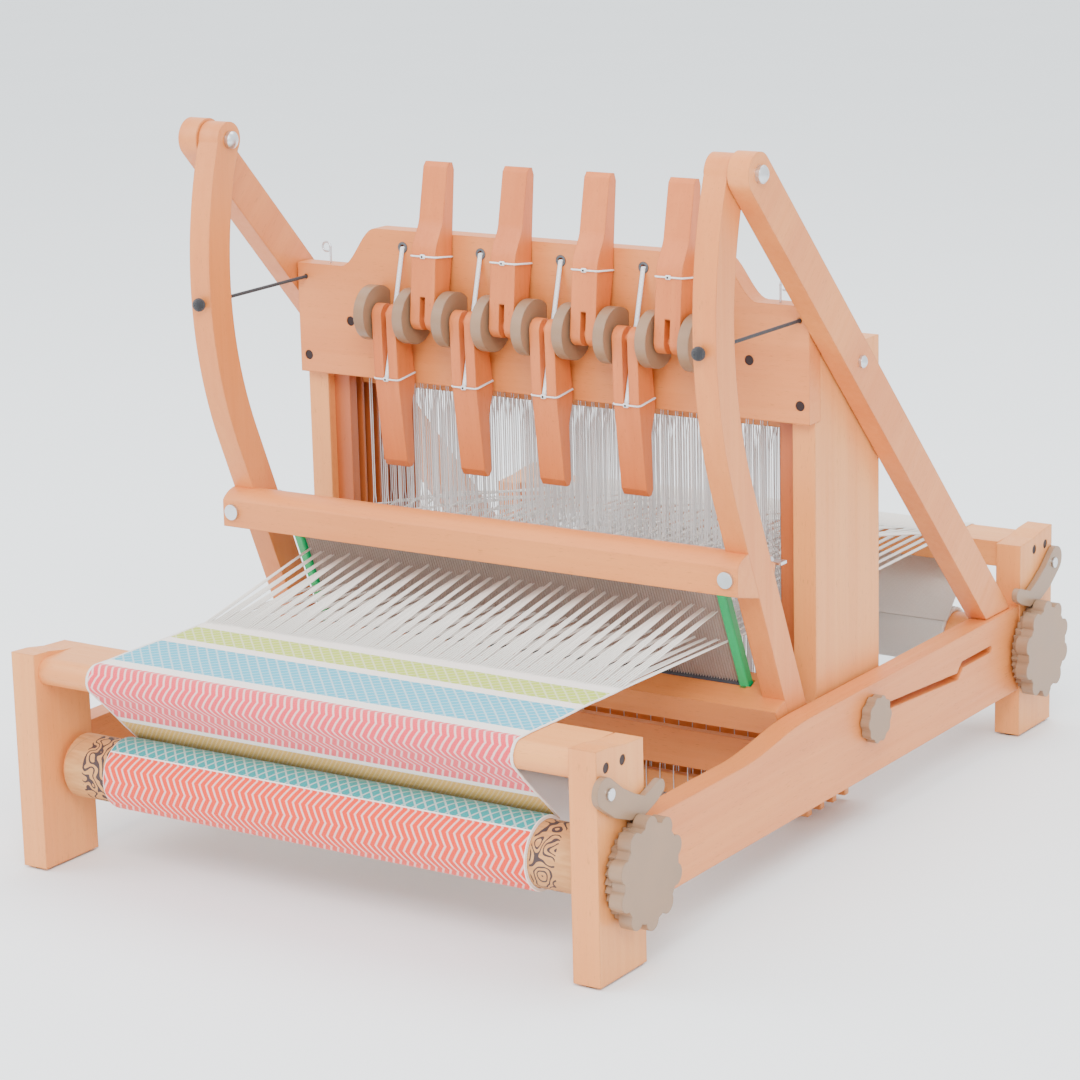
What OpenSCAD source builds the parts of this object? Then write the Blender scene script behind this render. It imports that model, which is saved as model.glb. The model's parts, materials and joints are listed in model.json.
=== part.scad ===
// Folding table loom with levers, shafts, an overhead beater and ratcheted rollers.
// Millimetres, +Z up. The origin is on the table, midway between the sides and between
// the front and the back. Inside the modules y runs back from the front legs' front face.

/* [Overall] */
// Width of cloth that the reed takes
weave_w = 400; // [320:5:600]
// Depth over the front and back legs
frame_depth = 749; // [740:5:900]
// Height of a leg at its outer end
leg_top = 178; // [172:1:190]

/* [Legs, rails and beams] */
// Thickness of a leg across the loom
leg_thick = 23; // [18:1:30]
// Depth of a leg along the loom
leg_deep = 63; // [55:1:75]
// Fall of a leg's top towards the middle of the loom
leg_fall = 6; // [0:1:12]
// Height of a rubber foot below its leg
foot_h = 2; // [1:0.5:4]
// Diameter of a rubber foot
foot_d = 14; // [8:1:20]
// Thickness of a side rail
rail_thick = 20; // [16:1:24]
// Height of the rail's underside
rail_low = 44; // [42:1:60]
// Height of the rail's top at the castle
rail_top = 119; // [112:1:125]
// How far the rail's top is lower at the front
rail_step = 11; // [0:1:14]
// Height of the front and back beams' tops
beam_top = 173; // [168:1:178]
// Thickness of the front and back beams
beam_h = 22; // [18:1:24]
// Depth of the front and back beams
beam_deep = 56; // [46:1:60]

/* [Castle] */
// Distance back to the castle's front board
castle_y = 356.4; // [340:1:360]
// Thickness of the front board
board_thick = 17.6; // [12:0.2:20]
// Height of the front board's lower edge
board_low = 340; // [330:1:345]
// Height of the front board's shoulders
board_shoulder = 433; // [426:1:440]
// Height of the front board's raised middle
board_crown = 467; // [462:1:490]
// Thickness of a castle side
side_thick = 20; // [16:1:22]
// Distance back to the rear edge of the castle sides
side_rear = 472; // [471:1:490]
// Height of the castle sides' tops
side_top = 392; // [388:1:394]
// Height of the castle sides' feet
side_low = 47; // [44:1:50]
// Thickness of the grooved strips that guide the shafts
guide_thick = 16; // [12:1:18]

/* [Shafts and levers] */
// Number of shafts, each with its own lever
shafts = 8; // [8:1:8]
// Distance from one shaft to the next
shaft_pitch = 10.5; // [9:0.5:10.5]
// Thickness of a shaft's bars
bar_thick = 7; // [5:0.5:7.5]
// Height of a shaft's bars
bar_h = 18; // [14:1:18]
// Height of a lowered shaft's lower bar above the table
bar_low = 5; // [3:1:14]
// Height of a lowered shaft's upper bar above the table
bar_high = 326; // [310:1:328]
// Height that a lever lifts its shaft
shaft_rise = 52; // [40:1:52]
// Height of the heddle eyes on a lowered shaft
eye_z = 170; // [168:1:174]
// Distance between warp ends
warp_pitch = 5; // [5:1:8]
// Distance from one lever to the next
lever_pitch = 38.8; // [36:0.2:42]
// Width of a lever
lever_w = 23.5; // [18:0.5:24]
// Length of a lever from its pivot to its tip
lever_len = 128; // [110:1:135]
// Depth of a lever where its cord is tied
lever_deep = 23.8; // [20:0.2:24]
// Distance from a lever's pivot to its cord
tie_s = 52; // [45:1:54]
// Lean of a lever away from upright at each end of its swing
lever_lean = 6.45; // [4:0.05:7]
// Diameter of the rod that the levers turn on
lever_rod_d = 6; // [4:0.5:7]

/* [Beater] */
// Distance back to the beater's pivot
pivot_y = 247; // [240:1:250]
// Height of the beater's pivot
pivot_z = 551; // [540:1:560]
// Thickness of a beater arm
beater_thick = 20; // [16:1:22]
// Width of a beater arm
beater_wide = 27; // [22:1:30]
// Radius of the bowed upper part of the beater arms
bow_r = 337; // [330:1:360]
// Length of the straight lower part of the beater arms
straight_len = 219; // [210:1:222]
// Thickness of the reed
reed_thick = 8; // [6:0.5:9]
// Distance along the straight part to the reed's top
reed_from = 80; // [76:1:84]
// Height of the reed
reed_h = 116; // [110:1:118]
// Width of each of the reed's end strips
reed_end = 10; // [6:1:12]

/* [Support arms] */
// Thickness of a support arm
arm_thick = 18; // [14:1:18]
// Width of a support arm
arm_wide = 33; // [28:1:34]
// Distance from the back legs' front face to a support arm's foot pivot
arm_foot_in = 18.2; // [17.6:0.2:24]
// Height of a support arm's foot pivot
arm_foot_z = 104; // [96:1:106]
// Distance down the arm from its top pivot to the castle bolt
castle_bolt_s = 230; // [224:1:232]

/* [Rollers] */
// Distance in from a leg's outer face to its roller
roller_in = 44; // [40:1:48]
// Height of the rollers
roller_z = 78; // [70:1:80]
// Diameter of a roller
roller_d = 44; // [36:1:46]
// Diameter of a roller's journal
journal_d = 16; // [12:1:18]
// Diameter of the paper tube on the cloth roller
tube_d = 51; // [50:1:52]
// Diameter of the roll of finished cloth
cloth_roll_d = 57; // [56:1:62]
// Diameter of the roll of stored warp
warp_roll_d = 52; // [50:1:60]
// Outer diameter of a hand wheel
wheel_d = 86; // [70:1:90]
// Number of grips around a hand wheel
wheel_lobes = 10; // [8:2:16]
// Number of ratchet teeth
ratchet_teeth = 36; // [24:12:48]

/* [Clamps and fits] */
// Diameter of a clamp knob
knob_d = 39; // [30:1:42]
// Thickness of a clamp knob
knob_t = 8; // [6:0.5:12]
// Height of the clamp knobs' axis
clamp_z = 92; // [90:1:94]
// Diameter of a clamp knob's bolt
clamp_d = 5; // [4:0.5:5]
// Height of the lower channel of the rail's slot
slot_low_z = 86; // [82:1:88]
// Width of the rail's slot
slot_w = 6; // [5.6:0.1:7]
// Radial clearance of a shaft or pin in its hole
run_fit = 0.05; // [0.02:0.01:0.1]
// Clearance of a sliding or turning piece beside its neighbour
side_gap = 1; // [0.5:0.1:2]

/* [Hidden] */
$fn = 48;
// Places across the loom, measured from its middle.
beater_in = weave_w / 2 + reed_end + 16;
beater_out = beater_in + beater_thick;
arm_in = beater_out + side_gap;
arm_out = arm_in + arm_thick;
castle_out = beater_out - 1;
castle_in = castle_out - side_thick;
guide_in = castle_in - guide_thick;
leg_in = arm_in;
leg_out = leg_in + leg_thick;
rail_in = leg_in + 2;
rail_out = rail_in + rail_thick;
thread_half = weave_w / 2 - warp_pitch / 2;
ends = floor(weave_w / warp_pitch);
cloth_half = weave_w / 2 - 2.5;
shock_x = castle_out - 8;
shock_z = board_shoulder - 11.4;

// Places along the loom, measured from the front legs' front face.
back_y = frame_depth - leg_deep;
front_roller_y = roller_in;
back_roller_y = frame_depth - roller_in;
side_front = castle_y + 9.6;
board_back = castle_y + board_thick;
shaft_half_span = shaft_pitch * (shafts - 1) / 2;
shaft_mid_y = side_rear - 10.5 - shaft_half_span;
clamp_y = castle_y + 55.6;
slot_back_y = back_y - 56;

// Lever rod, just far enough out for an upright lever to clear the board's crown.
rod_z = board_crown - 67;
lever_back = 10.3;
lever_front = lever_deep - lever_back;
rod_y = castle_y - 0.4 - lever_front * cos(lever_lean) - (board_crown - rod_z) * tan(lever_lean);
pivot_r = 9.5;
tie_z = board_crown - 14;
bracket_thick = 10;
bracket_r = 23;

// Beater: a bow round bow_c, then straight down at beater_tilt from straight_p.
bow_up = 19.8;
beater_tilt = 22.8;
bow_c = [pivot_y + bow_r * cos(bow_up), pivot_z - bow_r * sin(bow_up)];
straight_p = bow_c - bow_r * [cos(beater_tilt), sin(beater_tilt)];
bottom_from = reed_from + reed_h - 10;
bottom_h = 24;
pivot_d = 8;

// Support arm, from the beater's pivot down to the rail by the back leg.
arm_foot_y = back_y - arm_foot_in;
arm_run = [arm_foot_y - pivot_y, arm_foot_z - pivot_z];
arm_len = norm(arm_run);
arm_dir = arm_run / arm_len;
arm_angle = atan2(arm_run[1], arm_run[0]);
castle_bolt = [pivot_y, pivot_z] + castle_bolt_s * arm_dir;
bolt_d = 6;

// Warp and cloth.
fell_y = 155;
beam_r = beam_h / 2;
beam_in = 4;
cloth_t = 1;
thread_t = 1.2;
fell_z = beam_top + 0.3;
heddle_w = 0.8;
flange_r = 38;
flange_t = 5.5;
lobe_t = 11;

wood = "#e9a878";
pale_wood = "#efb992";
dark_wood = "#b8764a";
plastic = "#9d8776";
steel = "#b9bdc2";
black = "#1d1b1c";
cord = "#f2efe6";

LEVERS = [for (i = [1:shafts]) str("lever_", i)];
SHAFTS = [for (i = [1:shafts]) str("shaft_", i)];

// Shaft i is up when its lever hangs down. They alternate from the left.
function is_up(i) = i % 2 == 0;
function lift(i) = is_up(i) ? shaft_rise : 0;
function shaft_y(i) = shaft_mid_y + (i - (shafts - 1) / 2) * shaft_pitch;
function lever_x(i) = (i - (shafts - 1) / 2) * lever_pitch;
function eye_x(i, m) = -thread_half + warp_pitch * (i + shafts * m);

// Points of a smooth S from a to b, level at both ends.
function s_curve(a, b, steps = 12) = [
    for (k = [0:steps])
        let (t = k / steps)
        [a[0] + (b[0] - a[0]) * t, a[1] + (b[1] - a[1]) * (1 - cos(180 * t)) / 2]
];

// Points of an arc round c from angle a0 to a1.
function arc_points(c, r, a0, a1, steps = 12) = [
    for (k = [0:steps])
        let (a = a0 + (a1 - a0) * k / steps)
        c + r * [cos(a), sin(a)]
];

// Where the straight run between two round pieces leaves each of them, crossing between them.
function cross_tangent(c1, r1, c2, r2) =
    let (d = c2 - c1)
    let (heading = atan2(d[1], d[0]) + asin((r1 + r2) / norm(d)))
    let (n = [sin(heading), -cos(heading)])
    [c1 + r1 * n, c2 - r2 * n, atan2(n[1], n[0])];

// A strip of thickness t beside a path, on its left.
function unit(v) = v / norm(v);
function left_of(p, i) =
    let (a = p[max(i - 1, 0)])
    let (b = p[min(i + 1, len(p) - 1)])
    let (d = unit(b - a))
    [-d[1], d[0]];
function strip(p, t) = concat(p, [for (i = [len(p) - 1:-1:0]) p[i] + t * left_of(p, i)]);

// A band along a path with mitred bends and round ends, its half width r one value or a list.
function mitre(p, i) =
    let (last = len(p) - 1)
    let (d0 = unit(p[max(i, 1)] - p[max(i, 1) - 1]))
    let (d1 = unit(p[min(i + 1, last)] - p[min(i + 1, last) - 1]))
    let (d = unit(d0 + d1))
    [-d[1], d[0]] / (d * d0);
function heading(a, b) = atan2(b[1] - a[1], b[0] - a[0]);
function inner(list) = [for (k = [1:len(list) - 2]) list[k]];
function band(p, r) =
    let (last = len(p) - 1)
    let (half = is_list(r) ? r : [for (q = p) r])
    let (a0 = heading(p[0], p[1]))
    let (a1 = heading(p[last - 1], p[last]))
    concat(
        [for (i = [0:last]) p[i] - half[i] * mitre(p, i)],
        inner(arc_points(p[last], half[last], a1 - 90, a1 + 90)),
        [for (i = [last:-1:0]) p[i] + half[i] * mitre(p, i)],
        inner(arc_points(p[0], half[0], a0 + 90, a0 + 270)));

// Moves a piece from the front-face measure to the loom's origin.
module place() {
    translate([0, -frame_depth / 2, 0])
        children();
}

// Extrudes a (y, z) outline across the loom, from x0 to x1.
module across(x0, x1) {
    translate([x0, 0, 0])
        rotate([90, 0, 90])
        linear_extrude(x1 - x0)
        children();
}

// The right-hand copy of a left and right pair, or its mirror image.
module side(right) {
    mirror([right ? 0 : 1, 0, 0])
        children();
}

module rod_x(x0, x1, y, z, d) {
    translate([x0, y, z])
        rotate([0, 90, 0])
        cylinder(h = x1 - x0, d = d);
}

// A flat outline with round ends between two (y, z) points.
module link(p, q, r) {
    d = q - p;
    translate(p) circle(r);
    translate(q) circle(r);
    translate(p)
        rotate(atan2(d[1], d[0]))
        translate([0, -r])
        square([norm(d), 2 * r]);
}

// A domed nut of diameter d and height h, pointing left or right from x.
module dome(x, y, z, d, h, outward) {
    crown_r = d * 0.62;
    translate([x, y, z])
        rotate([0, outward * 90, 0]) {
            cylinder(h = h / 2, d = d);
            translate([0, 0, h / 2 - 0.01])
                intersection() {
                    translate([0, 0, h / 2 - crown_r]) sphere(r = crown_r);
                    cylinder(h = h, d = d);
                }
        }
}

// Screw with a round black head: shank along -X from a head whose face is at x.
screw_head_d = 8;
screw_head_h = 3;
screw_d = 4.4;
module screw(x, y, z, length, grow = 0) {
    rod_x(x - screw_head_h, x + (grow > 0 ? 2 : 0), y, z, screw_head_d + 2 * grow);
    rod_x(x - length, x - screw_head_h + 0.01, y, z, screw_d + 2 * grow);
}

// --- Frame ---

beam_screw_z = beam_top - 10;
beam_screw_len = leg_thick + 32;
module beam_screws(grow = 0) {
    for (y = [13, 35]) {
        screw(leg_out - 0.5, y, beam_screw_z, beam_screw_len, grow);
        screw(leg_out - 0.5, frame_depth - y, beam_screw_z, beam_screw_len, grow);
    }
}

// A leg with its outer end at y = 0 and its inner face at y = leg_deep. The right-hand legs
// are bored for a pawl's screw.
module leg_shape(right) {
    difference() {
        across(leg_in, leg_out)
            polygon([[0, foot_h], [leg_deep, foot_h], [leg_deep, leg_top - leg_fall],
                     [leg_deep * 0.6, leg_top - leg_fall * 0.75],
                     [leg_deep * 0.3, leg_top - leg_fall * 0.2], [0, leg_top]]);
        rod_x(leg_in - 1, leg_out + 1, roller_in, roller_z, journal_d + 2 * run_fit);
        beam_screws(run_fit);
        if (right) pawl_screw(run_fit);
    }
}

module leg(right, back) {
    color(pale_wood)
        place()
        side(right)
        translate([0, back ? frame_depth : 0, 0])
        mirror([0, back ? 1 : 0, 0])
        leg_shape(right);
}

rail_s_from = 205;
rail_s_to = 315;
module rail_outline() {
    polygon(concat(
        [[leg_deep, rail_low], [back_y, rail_low], [back_y, rail_top]],
        s_curve([rail_s_to, rail_top], [rail_s_from, rail_top - rail_step]),
        [[leg_deep, rail_top - rail_step]]));
}

// Stepped slot that the clamp bolt slides along when the loom folds.
module clamp_slot() {
    step_y = slot_back_y - 62;
    polygon(band([[clamp_y, clamp_z], [clamp_y + 12, clamp_z + 3], [step_y, slot_low_z],
                  [step_y + 9, slot_low_z + 8], [slot_back_y, slot_low_z + 8]], slot_w / 2));
}

module rail_shape() {
    difference() {
        across(rail_in, rail_out) rail_outline();
        across(rail_in - 1, rail_out + 1) clamp_slot();
        across(rail_in - 1, rail_in + arm_lap - 1.5)
            link([arm_foot_y, arm_foot_z], [arm_foot_y, arm_foot_z] - 60 * arm_dir,
                 arm_wide / 2 + side_gap);
        arm_foot_bolt(run_fit);
    }
}

module side_rail(right) {
    color(wood) place() side(right) rail_shape();
}

// Round-nosed beam, its nose towards the outside of the loom.
module beam_outline() {
    nose = [beam_in + beam_r, beam_top - beam_r];
    translate(nose) circle(beam_r);
    translate([nose[0], nose[1] - beam_r])
        square([beam_deep - beam_r, beam_h]);
}

module beam(back) {
    color(pale_wood)
        place()
        translate([0, back ? frame_depth : 0, 0])
        mirror([0, back ? 1 : 0, 0])
        difference() {
            across(-leg_in, leg_in) beam_outline();
            side(true) beam_screws(run_fit);
            side(false) beam_screws(run_fit);
        }
}

module rubber_feet() {
    color(black)
        place()
        for (right = [false, true], y = [10, leg_deep - 10, back_y + 10, frame_depth - 10])
            side(right)
            translate([(leg_in + leg_out) / 2, y, 0])
            cylinder(h = foot_h, d = foot_d);
}

board_screw_spots = [[castle_out - 8, board_low + 14.4], [castle_in - 33, side_top - 5.2]];
module board_screws(grow = 0) {
    for (p = board_screw_spots)
        translate([p[0], castle_y + 0.5, p[1]])
        rotate([0, 0, -90])
        screw(0, 0, 0, p[0] > castle_in ? 40 : board_thick + 7, grow);
}

// Screw that a pawl hangs from, at the front right leg.
pawl_x = leg_out + 1;
pawl_t = 5;
pawl_screw_d = 5;
module pawl_screw(grow = 0) {
    rod_x(leg_out - 14, pawl_x + pawl_t + 0.3, pawl_y, pawl_z, pawl_screw_d + 2 * grow);
}

// Screws of the beams and of the castle's front board.
module wood_screws() {
    color(black)
        place()
        for (right = [false, true])
            side(right) {
                beam_screws();
                board_screws();
            }
}

// --- Castle ---

module castle_side(right) {
    color(pale_wood)
        place()
        side(right)
        difference() {
            across(castle_in, castle_out)
                polygon([[side_front, side_low], [side_rear, side_low], [side_rear, side_top],
                         [board_back, side_top], [board_back, board_low], [side_front, board_low]]);
            board_screws(run_fit);
            rod_x(castle_in - 1, castle_out + 1, clamp_y, clamp_z, clamp_d + 2 * run_fit);
            rod_x(castle_in - 1, castle_out + 1, castle_bolt[0], castle_bolt[1],
                  bolt_d + 2 * run_fit);
        }
}

// Strip with one upright groove for each shaft's ends.
groove_deep = guide_thick - 3;
module shaft_guide(right) {
    color(dark_wood)
        place()
        side(right)
        difference() {
            translate([guide_in, board_back + 0.6, side_low])
                cube([guide_thick, side_rear - board_back - 0.6, side_top - side_low]);
            for (i = [0:shafts - 1])
                translate([guide_in - 1, shaft_y(i) - bar_thick / 2 - 0.4, side_low - 1])
                cube([groove_deep + 1, bar_thick + 0.8, side_top - side_low + 2]);
            }
}

shoulder_from = weave_w / 2 - 36;
shoulder_to = weave_w / 2;
module front_board_outline() {
    half = concat(
        [[castle_out + 0.4, board_low], [castle_out + 0.4, board_shoulder]],
        s_curve([shoulder_to, board_shoulder], [shoulder_from, board_crown]));
    polygon(concat(half, [for (k = [len(half) - 1:-1:0]) [-half[k][0], half[k][1]]]));
}

module front_board() {
    color(wood)
        place()
        difference() {
            translate([0, board_back, 0])
                rotate([90, 0, 0])
                linear_extrude(board_thick)
                front_board_outline();
            for (i = [0:shafts - 1])
                translate([lever_x(i), castle_y - 1, tie_z])
                rotate([-90, 0, 0])
                cylinder(h = board_thick + 2, d = 6);
            for (right = [false, true])
                side(right) {
                    board_screws(run_fit);
                    translate([shock_x, castle_y - 1, shock_z])
                        rotate([-90, 0, 0])
                        cylinder(h = board_thick + 2, d = 4);
                    hook_stem(run_fit);
                }
        }
}

// Batten behind the front board, and the thin board that guides the lift cords.
batten_thick = 9;
guide_board_z = side_top + 8.2;
guide_board_t = 5;
hanger_x = 90;
module castle_battens() {
    color(dark_wood)
        place() {
            difference() {
                union() {
                    translate([-castle_out + 0.5, board_back, side_top])
                        cube([2 * castle_out - 1, batten_thick, 18]);
                    translate([-guide_in + 1, board_back, side_top - 16])
                        cube([2 * guide_in - 2, batten_thick, 18]);
                }
                for (right = [false, true])
                    side(right) board_screws(run_fit);
                translate([-hanger_x - 20, board_back + 0.01, guide_board_z])
                    cube([2 * hanger_x + 40, batten_thick + 1, guide_board_t + 20]);
            }
            difference() {
                translate([-hanger_x - 20, board_back, guide_board_z])
                    cube([2 * hanger_x + 40, side_rear - board_back - 4, guide_board_t]);
                for (i = [0:shafts - 1], x = [-hanger_x, hanger_x])
                    translate([x, shaft_y(i), guide_board_z - 1])
                    cylinder(h = guide_board_t + 2, d = 4);
            }
        }
}

cross_rail_z = 41;
cross_rail_h = 32;
cross_rail_t = 8;
module castle_cross_rail() {
    color(wood)
        place()
        translate([-castle_in, side_front, cross_rail_z])
        cube([2 * castle_in, cross_rail_t, cross_rail_h]);
}

// --- Levers ---

module lever_brackets() {
    color(plastic)
        place()
        for (i = [0:shafts])
            difference() {
                across(lever_x(i) - (lever_pitch + bracket_thick) / 2,
                       lever_x(i) - (lever_pitch - bracket_thick) / 2)
                    intersection() {
                        translate([rod_y + 5, rod_z]) circle(bracket_r);
                        translate([rod_y - 40, rod_z - 40])
                            square([castle_y - rod_y + 40, 80]);
                    }
                rod_x(-200, 200, rod_y, rod_z, lever_rod_d + 2 * run_fit);
            }
}

rod_half = lever_pitch * shafts / 2 + 8;
module lever_rod() {
    color(steel)
        place()
        rod_x(-rod_half, rod_half, rod_y, rod_z, lever_rod_d);
}

// Side view of a lever that hangs straight down from its pivot at the origin.
module lever_outline() {
    polygon(concat(
        [[-pivot_r, 0], [-lever_front, -tie_s + 4], [-lever_front + 1, -lever_len + 6],
         [-lever_front + 4, -lever_len], [-5.5, -lever_len], [-2.5, -lever_len + 4]],
        [for (p = s_curve([-tie_s - 32, 1], [-tie_s - 2, lever_back])) [p[1], p[0]]],
        [[10, -tie_s + 14], [pivot_r, 0]]));
    circle(pivot_r);
}

// Slot that the lift cord passes through, long on the front and short on the back.
lever_slot_w = 5;
rod_collar = 0.7;
module lever_slot() {
    low = 1 - tie_s;
    polygon([[-40, 30], [-40, low], [-lever_front, low], [lever_back, low + 34],
             [lever_back + 10, low + 48], [lever_back + 10, 30]]);
}

module lever_shape() {
    difference() {
        across(-lever_w / 2, lever_w / 2) lever_outline();
        across(-lever_slot_w / 2, lever_slot_w / 2)
            difference() {
                lever_slot();
                circle(lever_rod_d / 2 + rod_collar);
            }
        rod_x(-lever_w, lever_w, 0, 0, lever_rod_d + 2 * run_fit);
    }
}

module lever(i) {
    color(wood)
        place()
        translate([lever_x(i), rod_y, rod_z])
        rotate([is_up(i) ? lever_lean : 180 - lever_lean, 0, 0])
        lever_shape();
}

// --- Shafts ---

bar_half = guide_in + groove_deep - side_gap;
heddle_rows = floor(ends / shafts);
module shaft(i) {
    color(pale_wood)
        place()
        translate([0, shaft_y(i), lift(i)]) {
            for (z = [bar_low, bar_high])
                translate([-bar_half, -bar_thick / 2, z])
                cube([2 * bar_half, bar_thick, bar_h]);
            for (m = [0:heddle_rows - 1])
                translate([eye_x(i, m) + 1.2, -0.5, bar_low + bar_h])
                cube([heddle_w, 1, bar_high - bar_low - bar_h]);
        }
}

// --- Beater ---

module beater_arm_outline() {
    intersection() {
        translate(bow_c)
            difference() {
                circle(bow_r + beater_wide / 2, $fn = 180);
                circle(bow_r - beater_wide / 2, $fn = 180);
            }
        polygon([bow_c,
                 bow_c + 2 * bow_r * [-cos(bow_up), sin(bow_up)],
                 bow_c + 2 * bow_r * [-1, 0],
                 bow_c + 2 * bow_r * [-cos(beater_tilt), -sin(beater_tilt)]]);
    }
    translate([pivot_y, pivot_z]) circle(beater_wide / 2 + 1);
    translate(straight_p)
        rotate(beater_tilt)
        translate([-beater_wide / 2, -straight_len])
        square([beater_wide, straight_len + 0.5]);
}

module beater_arm(right) {
    color(wood)
        place()
        side(right)
        difference() {
            across(beater_in, beater_out) beater_arm_outline();
            rod_x(beater_in - 1, beater_out + 1, pivot_y, pivot_z, pivot_d + 2 * run_fit);
            translate([shock_x - 3, pivot_y - 60, shock_z])
                rotate([-90, 0, 0])
                cylinder(h = 80, d = 4);
            beater_bolts_side(run_fit);
        }
}

// Turns and moves pieces drawn from straight_p, with -Z down the beater's straight part.
module down_beater() {
    translate([0, straight_p[0], straight_p[1]])
        rotate([beater_tilt, 0, 0])
        children();
}

// Handrail of the beater: a front face, a round crown and a rear slope.
cap_front = 242;
cap_low = 229;
module top_beam_outline() {
    crown = [cap_front + 18, cap_low + 6.5];
    polygon(concat(
        [[cap_front, cap_low], [cap_front + 52, cap_low - 13], [cap_front + 58, cap_low + 14]],
        arc_points(crown, 24, 72, 138, 14),
        [[cap_front, cap_low + 16]]));
}

reed_groove = reed_thick + 0.6;
module reed_space(from, to) {
    down_beater()
        translate([-weave_w / 2 - reed_end - 0.5, -reed_groove / 2, -to])
        cube([weave_w + 2 * reed_end + 1, reed_groove, to - from]);
}

module arms_space() {
    for (right = [false, true])
        side(right)
        across(beater_in - 0.01, beater_out + 1) beater_arm_outline();
}

module beater_top_beam() {
    color(wood)
        place()
        difference() {
            across(-beater_out, beater_out) top_beam_outline();
            arms_space();
            reed_space(reed_from, reed_from + 40);
            for (right = [false, true])
                side(right) beater_bolts_side(run_fit);
        }
}

module beater_bottom_beam() {
    color(wood)
        place()
        difference() {
            down_beater()
                translate([-beater_out, bottom_front, -bottom_from - bottom_h])
                cube([2 * beater_out, beater_wide / 2 - bottom_front, bottom_h]);
            arms_space();
            reed_space(bottom_from - 1, reed_from + reed_h + 0.3);
            for (right = [false, true])
                side(right) beater_bolts_side(run_fit);
        }
}

// Reed: two long baulks, a strip at each end and one dent between neighbouring warp ends.
baulk_h = 11;
dent_w = 0.8;
module reed() {
    color("#8d8378")
        place()
        down_beater()
        translate([0, 0, -reed_from - reed_h]) {
            for (z = [0, reed_h - baulk_h])
                translate([-weave_w / 2, -reed_thick / 2, z])
                cube([weave_w, reed_thick, baulk_h]);
            for (x = [-weave_w / 2 - reed_end, weave_w / 2])
                translate([x, -reed_thick / 2, 0])
                cube([reed_end, reed_thick, reed_h]);
            for (k = [1:ends - 1])
                translate([-weave_w / 2 + k * warp_pitch - dent_w / 2, -2.5, baulk_h])
                cube([dent_w, 5, reed_h - 2 * baulk_h]);
        }
}

// Bolts that run back through the beams and the arms. The upper ones end in wing nuts.
beater_bolt_d = 6;
beater_bolt_x = beater_in + beater_thick / 2;
cap_bolt_z = cap_low + 13;
cap_nut_y = cap_front + 58.4;
bottom_bolt_z = -bottom_from - bottom_h / 2;
bottom_front = -29.6;
module rod_back(y, z, length, d) {
    translate([beater_bolt_x, y, z])
        rotate([-90, 0, 0])
        cylinder(h = length, d = d);
}

module beater_bolts_side(grow = 0) {
    bolt = beater_bolt_d + 2 * grow;
    rod_back(cap_front - 0.5, cap_bolt_z, cap_nut_y - cap_front + 8, bolt);
    down_beater()
        rod_back(bottom_front + 10, bottom_bolt_z, beater_wide / 2 + 11 - bottom_front - 20, bolt);
}

module wing_nut() {
    rotate([-90, 0, 0])
        difference() {
            union() {
                cylinder(h = 6, d = 11);
                for (s = [-1, 1])
                    translate([s * 8.5 - 5, -1.2, 2])
                    cube([10, 2.4, 9]);
            }
            translate([0, 0, -1])
                cylinder(h = 14, d = beater_bolt_d + 2 * run_fit);
        }
}

module beater_bolts() {
    color(steel)
        place()
        for (right = [false, true])
            side(right) {
                beater_bolts_side();
                rod_back(cap_front - 3, cap_bolt_z, 3, 13);
                translate([beater_bolt_x, cap_nut_y, cap_bolt_z])
                    wing_nut();
                down_beater()
                    rod_back(beater_wide / 2, bottom_bolt_z, 2.5, 12);
            }
}

// --- Support arms ---

arm_lap = 9.5;
module arm_outline(grow = 0) {
    link([pivot_y, pivot_z], [arm_foot_y, arm_foot_z], arm_wide / 2 + grow);
}

module arm_foot_bolt(grow = 0) {
    rod_x(arm_in - 3, rail_in + 16, arm_foot_y, arm_foot_z, bolt_d + 2 * grow);
}

module support_arm(right) {
    color(wood)
        place()
        side(right)
        difference() {
            across(arm_in, arm_out) arm_outline();
            translate([arm_in + arm_lap, leg_deep, 0])
                cube([arm_thick, frame_depth, rail_top + 0.6]);
            rod_x(arm_in - 1, arm_out + 1, pivot_y, pivot_z, pivot_d + 2 * run_fit);
            rod_x(arm_in - 1, arm_out + 1, castle_bolt[0], castle_bolt[1],
                  bolt_d + 2 * run_fit);
            arm_foot_bolt(run_fit);
        }
}

// Pivot bolts with domed nuts, the castle bolts with their washers, the foot bolts and the
// screws of the two pawls.
module arm_bolts() {
    color(steel)
        place() {
            pawl_screws();
            for (right = [false, true])
                side(right) arm_bolts_side();
        }
}

module pawl_screws() {
    for (back = [false, true])
        translate([0, back ? frame_depth : 0, 0])
            mirror([0, back ? 1 : 0, 0]) {
                pawl_screw();
                rod_x(pawl_x + pawl_t + 0.3, pawl_x + pawl_t + 1.8, pawl_y, pawl_z, 9);
            }
}

module arm_bolts_side() {
    rod_x(beater_in - 2, arm_out + 2, pivot_y, pivot_z, pivot_d);
    dome(beater_in - 0.5, pivot_y, pivot_z, 14, 7, -1);
    dome(arm_out, pivot_y, pivot_z, 14, 7, 1);
    rod_x(castle_in + 3, arm_out + 1, castle_bolt[0], castle_bolt[1], bolt_d);
    dome(arm_out, castle_bolt[0], castle_bolt[1], 10, 5, 1);
    collar(castle_out, arm_in, castle_bolt[0], castle_bolt[1], 16, bolt_d);
    arm_foot_bolt();
    rod_x(arm_in - 4, arm_in, arm_foot_y, arm_foot_z, 11);
    collar(castle_out, rail_in, clamp_y, clamp_z, 18, clamp_d);
}

// Loose washer round a bolt, filling the gap between two boards.
module collar(x0, x1, y, z, d, bolt) {
    difference() {
        rod_x(x0, x1, y, z, d);
        rod_x(x0 - 1, x1 + 1, y, z, bolt + 2 * run_fit);
    }
}

// --- Cords and hooks ---

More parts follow.
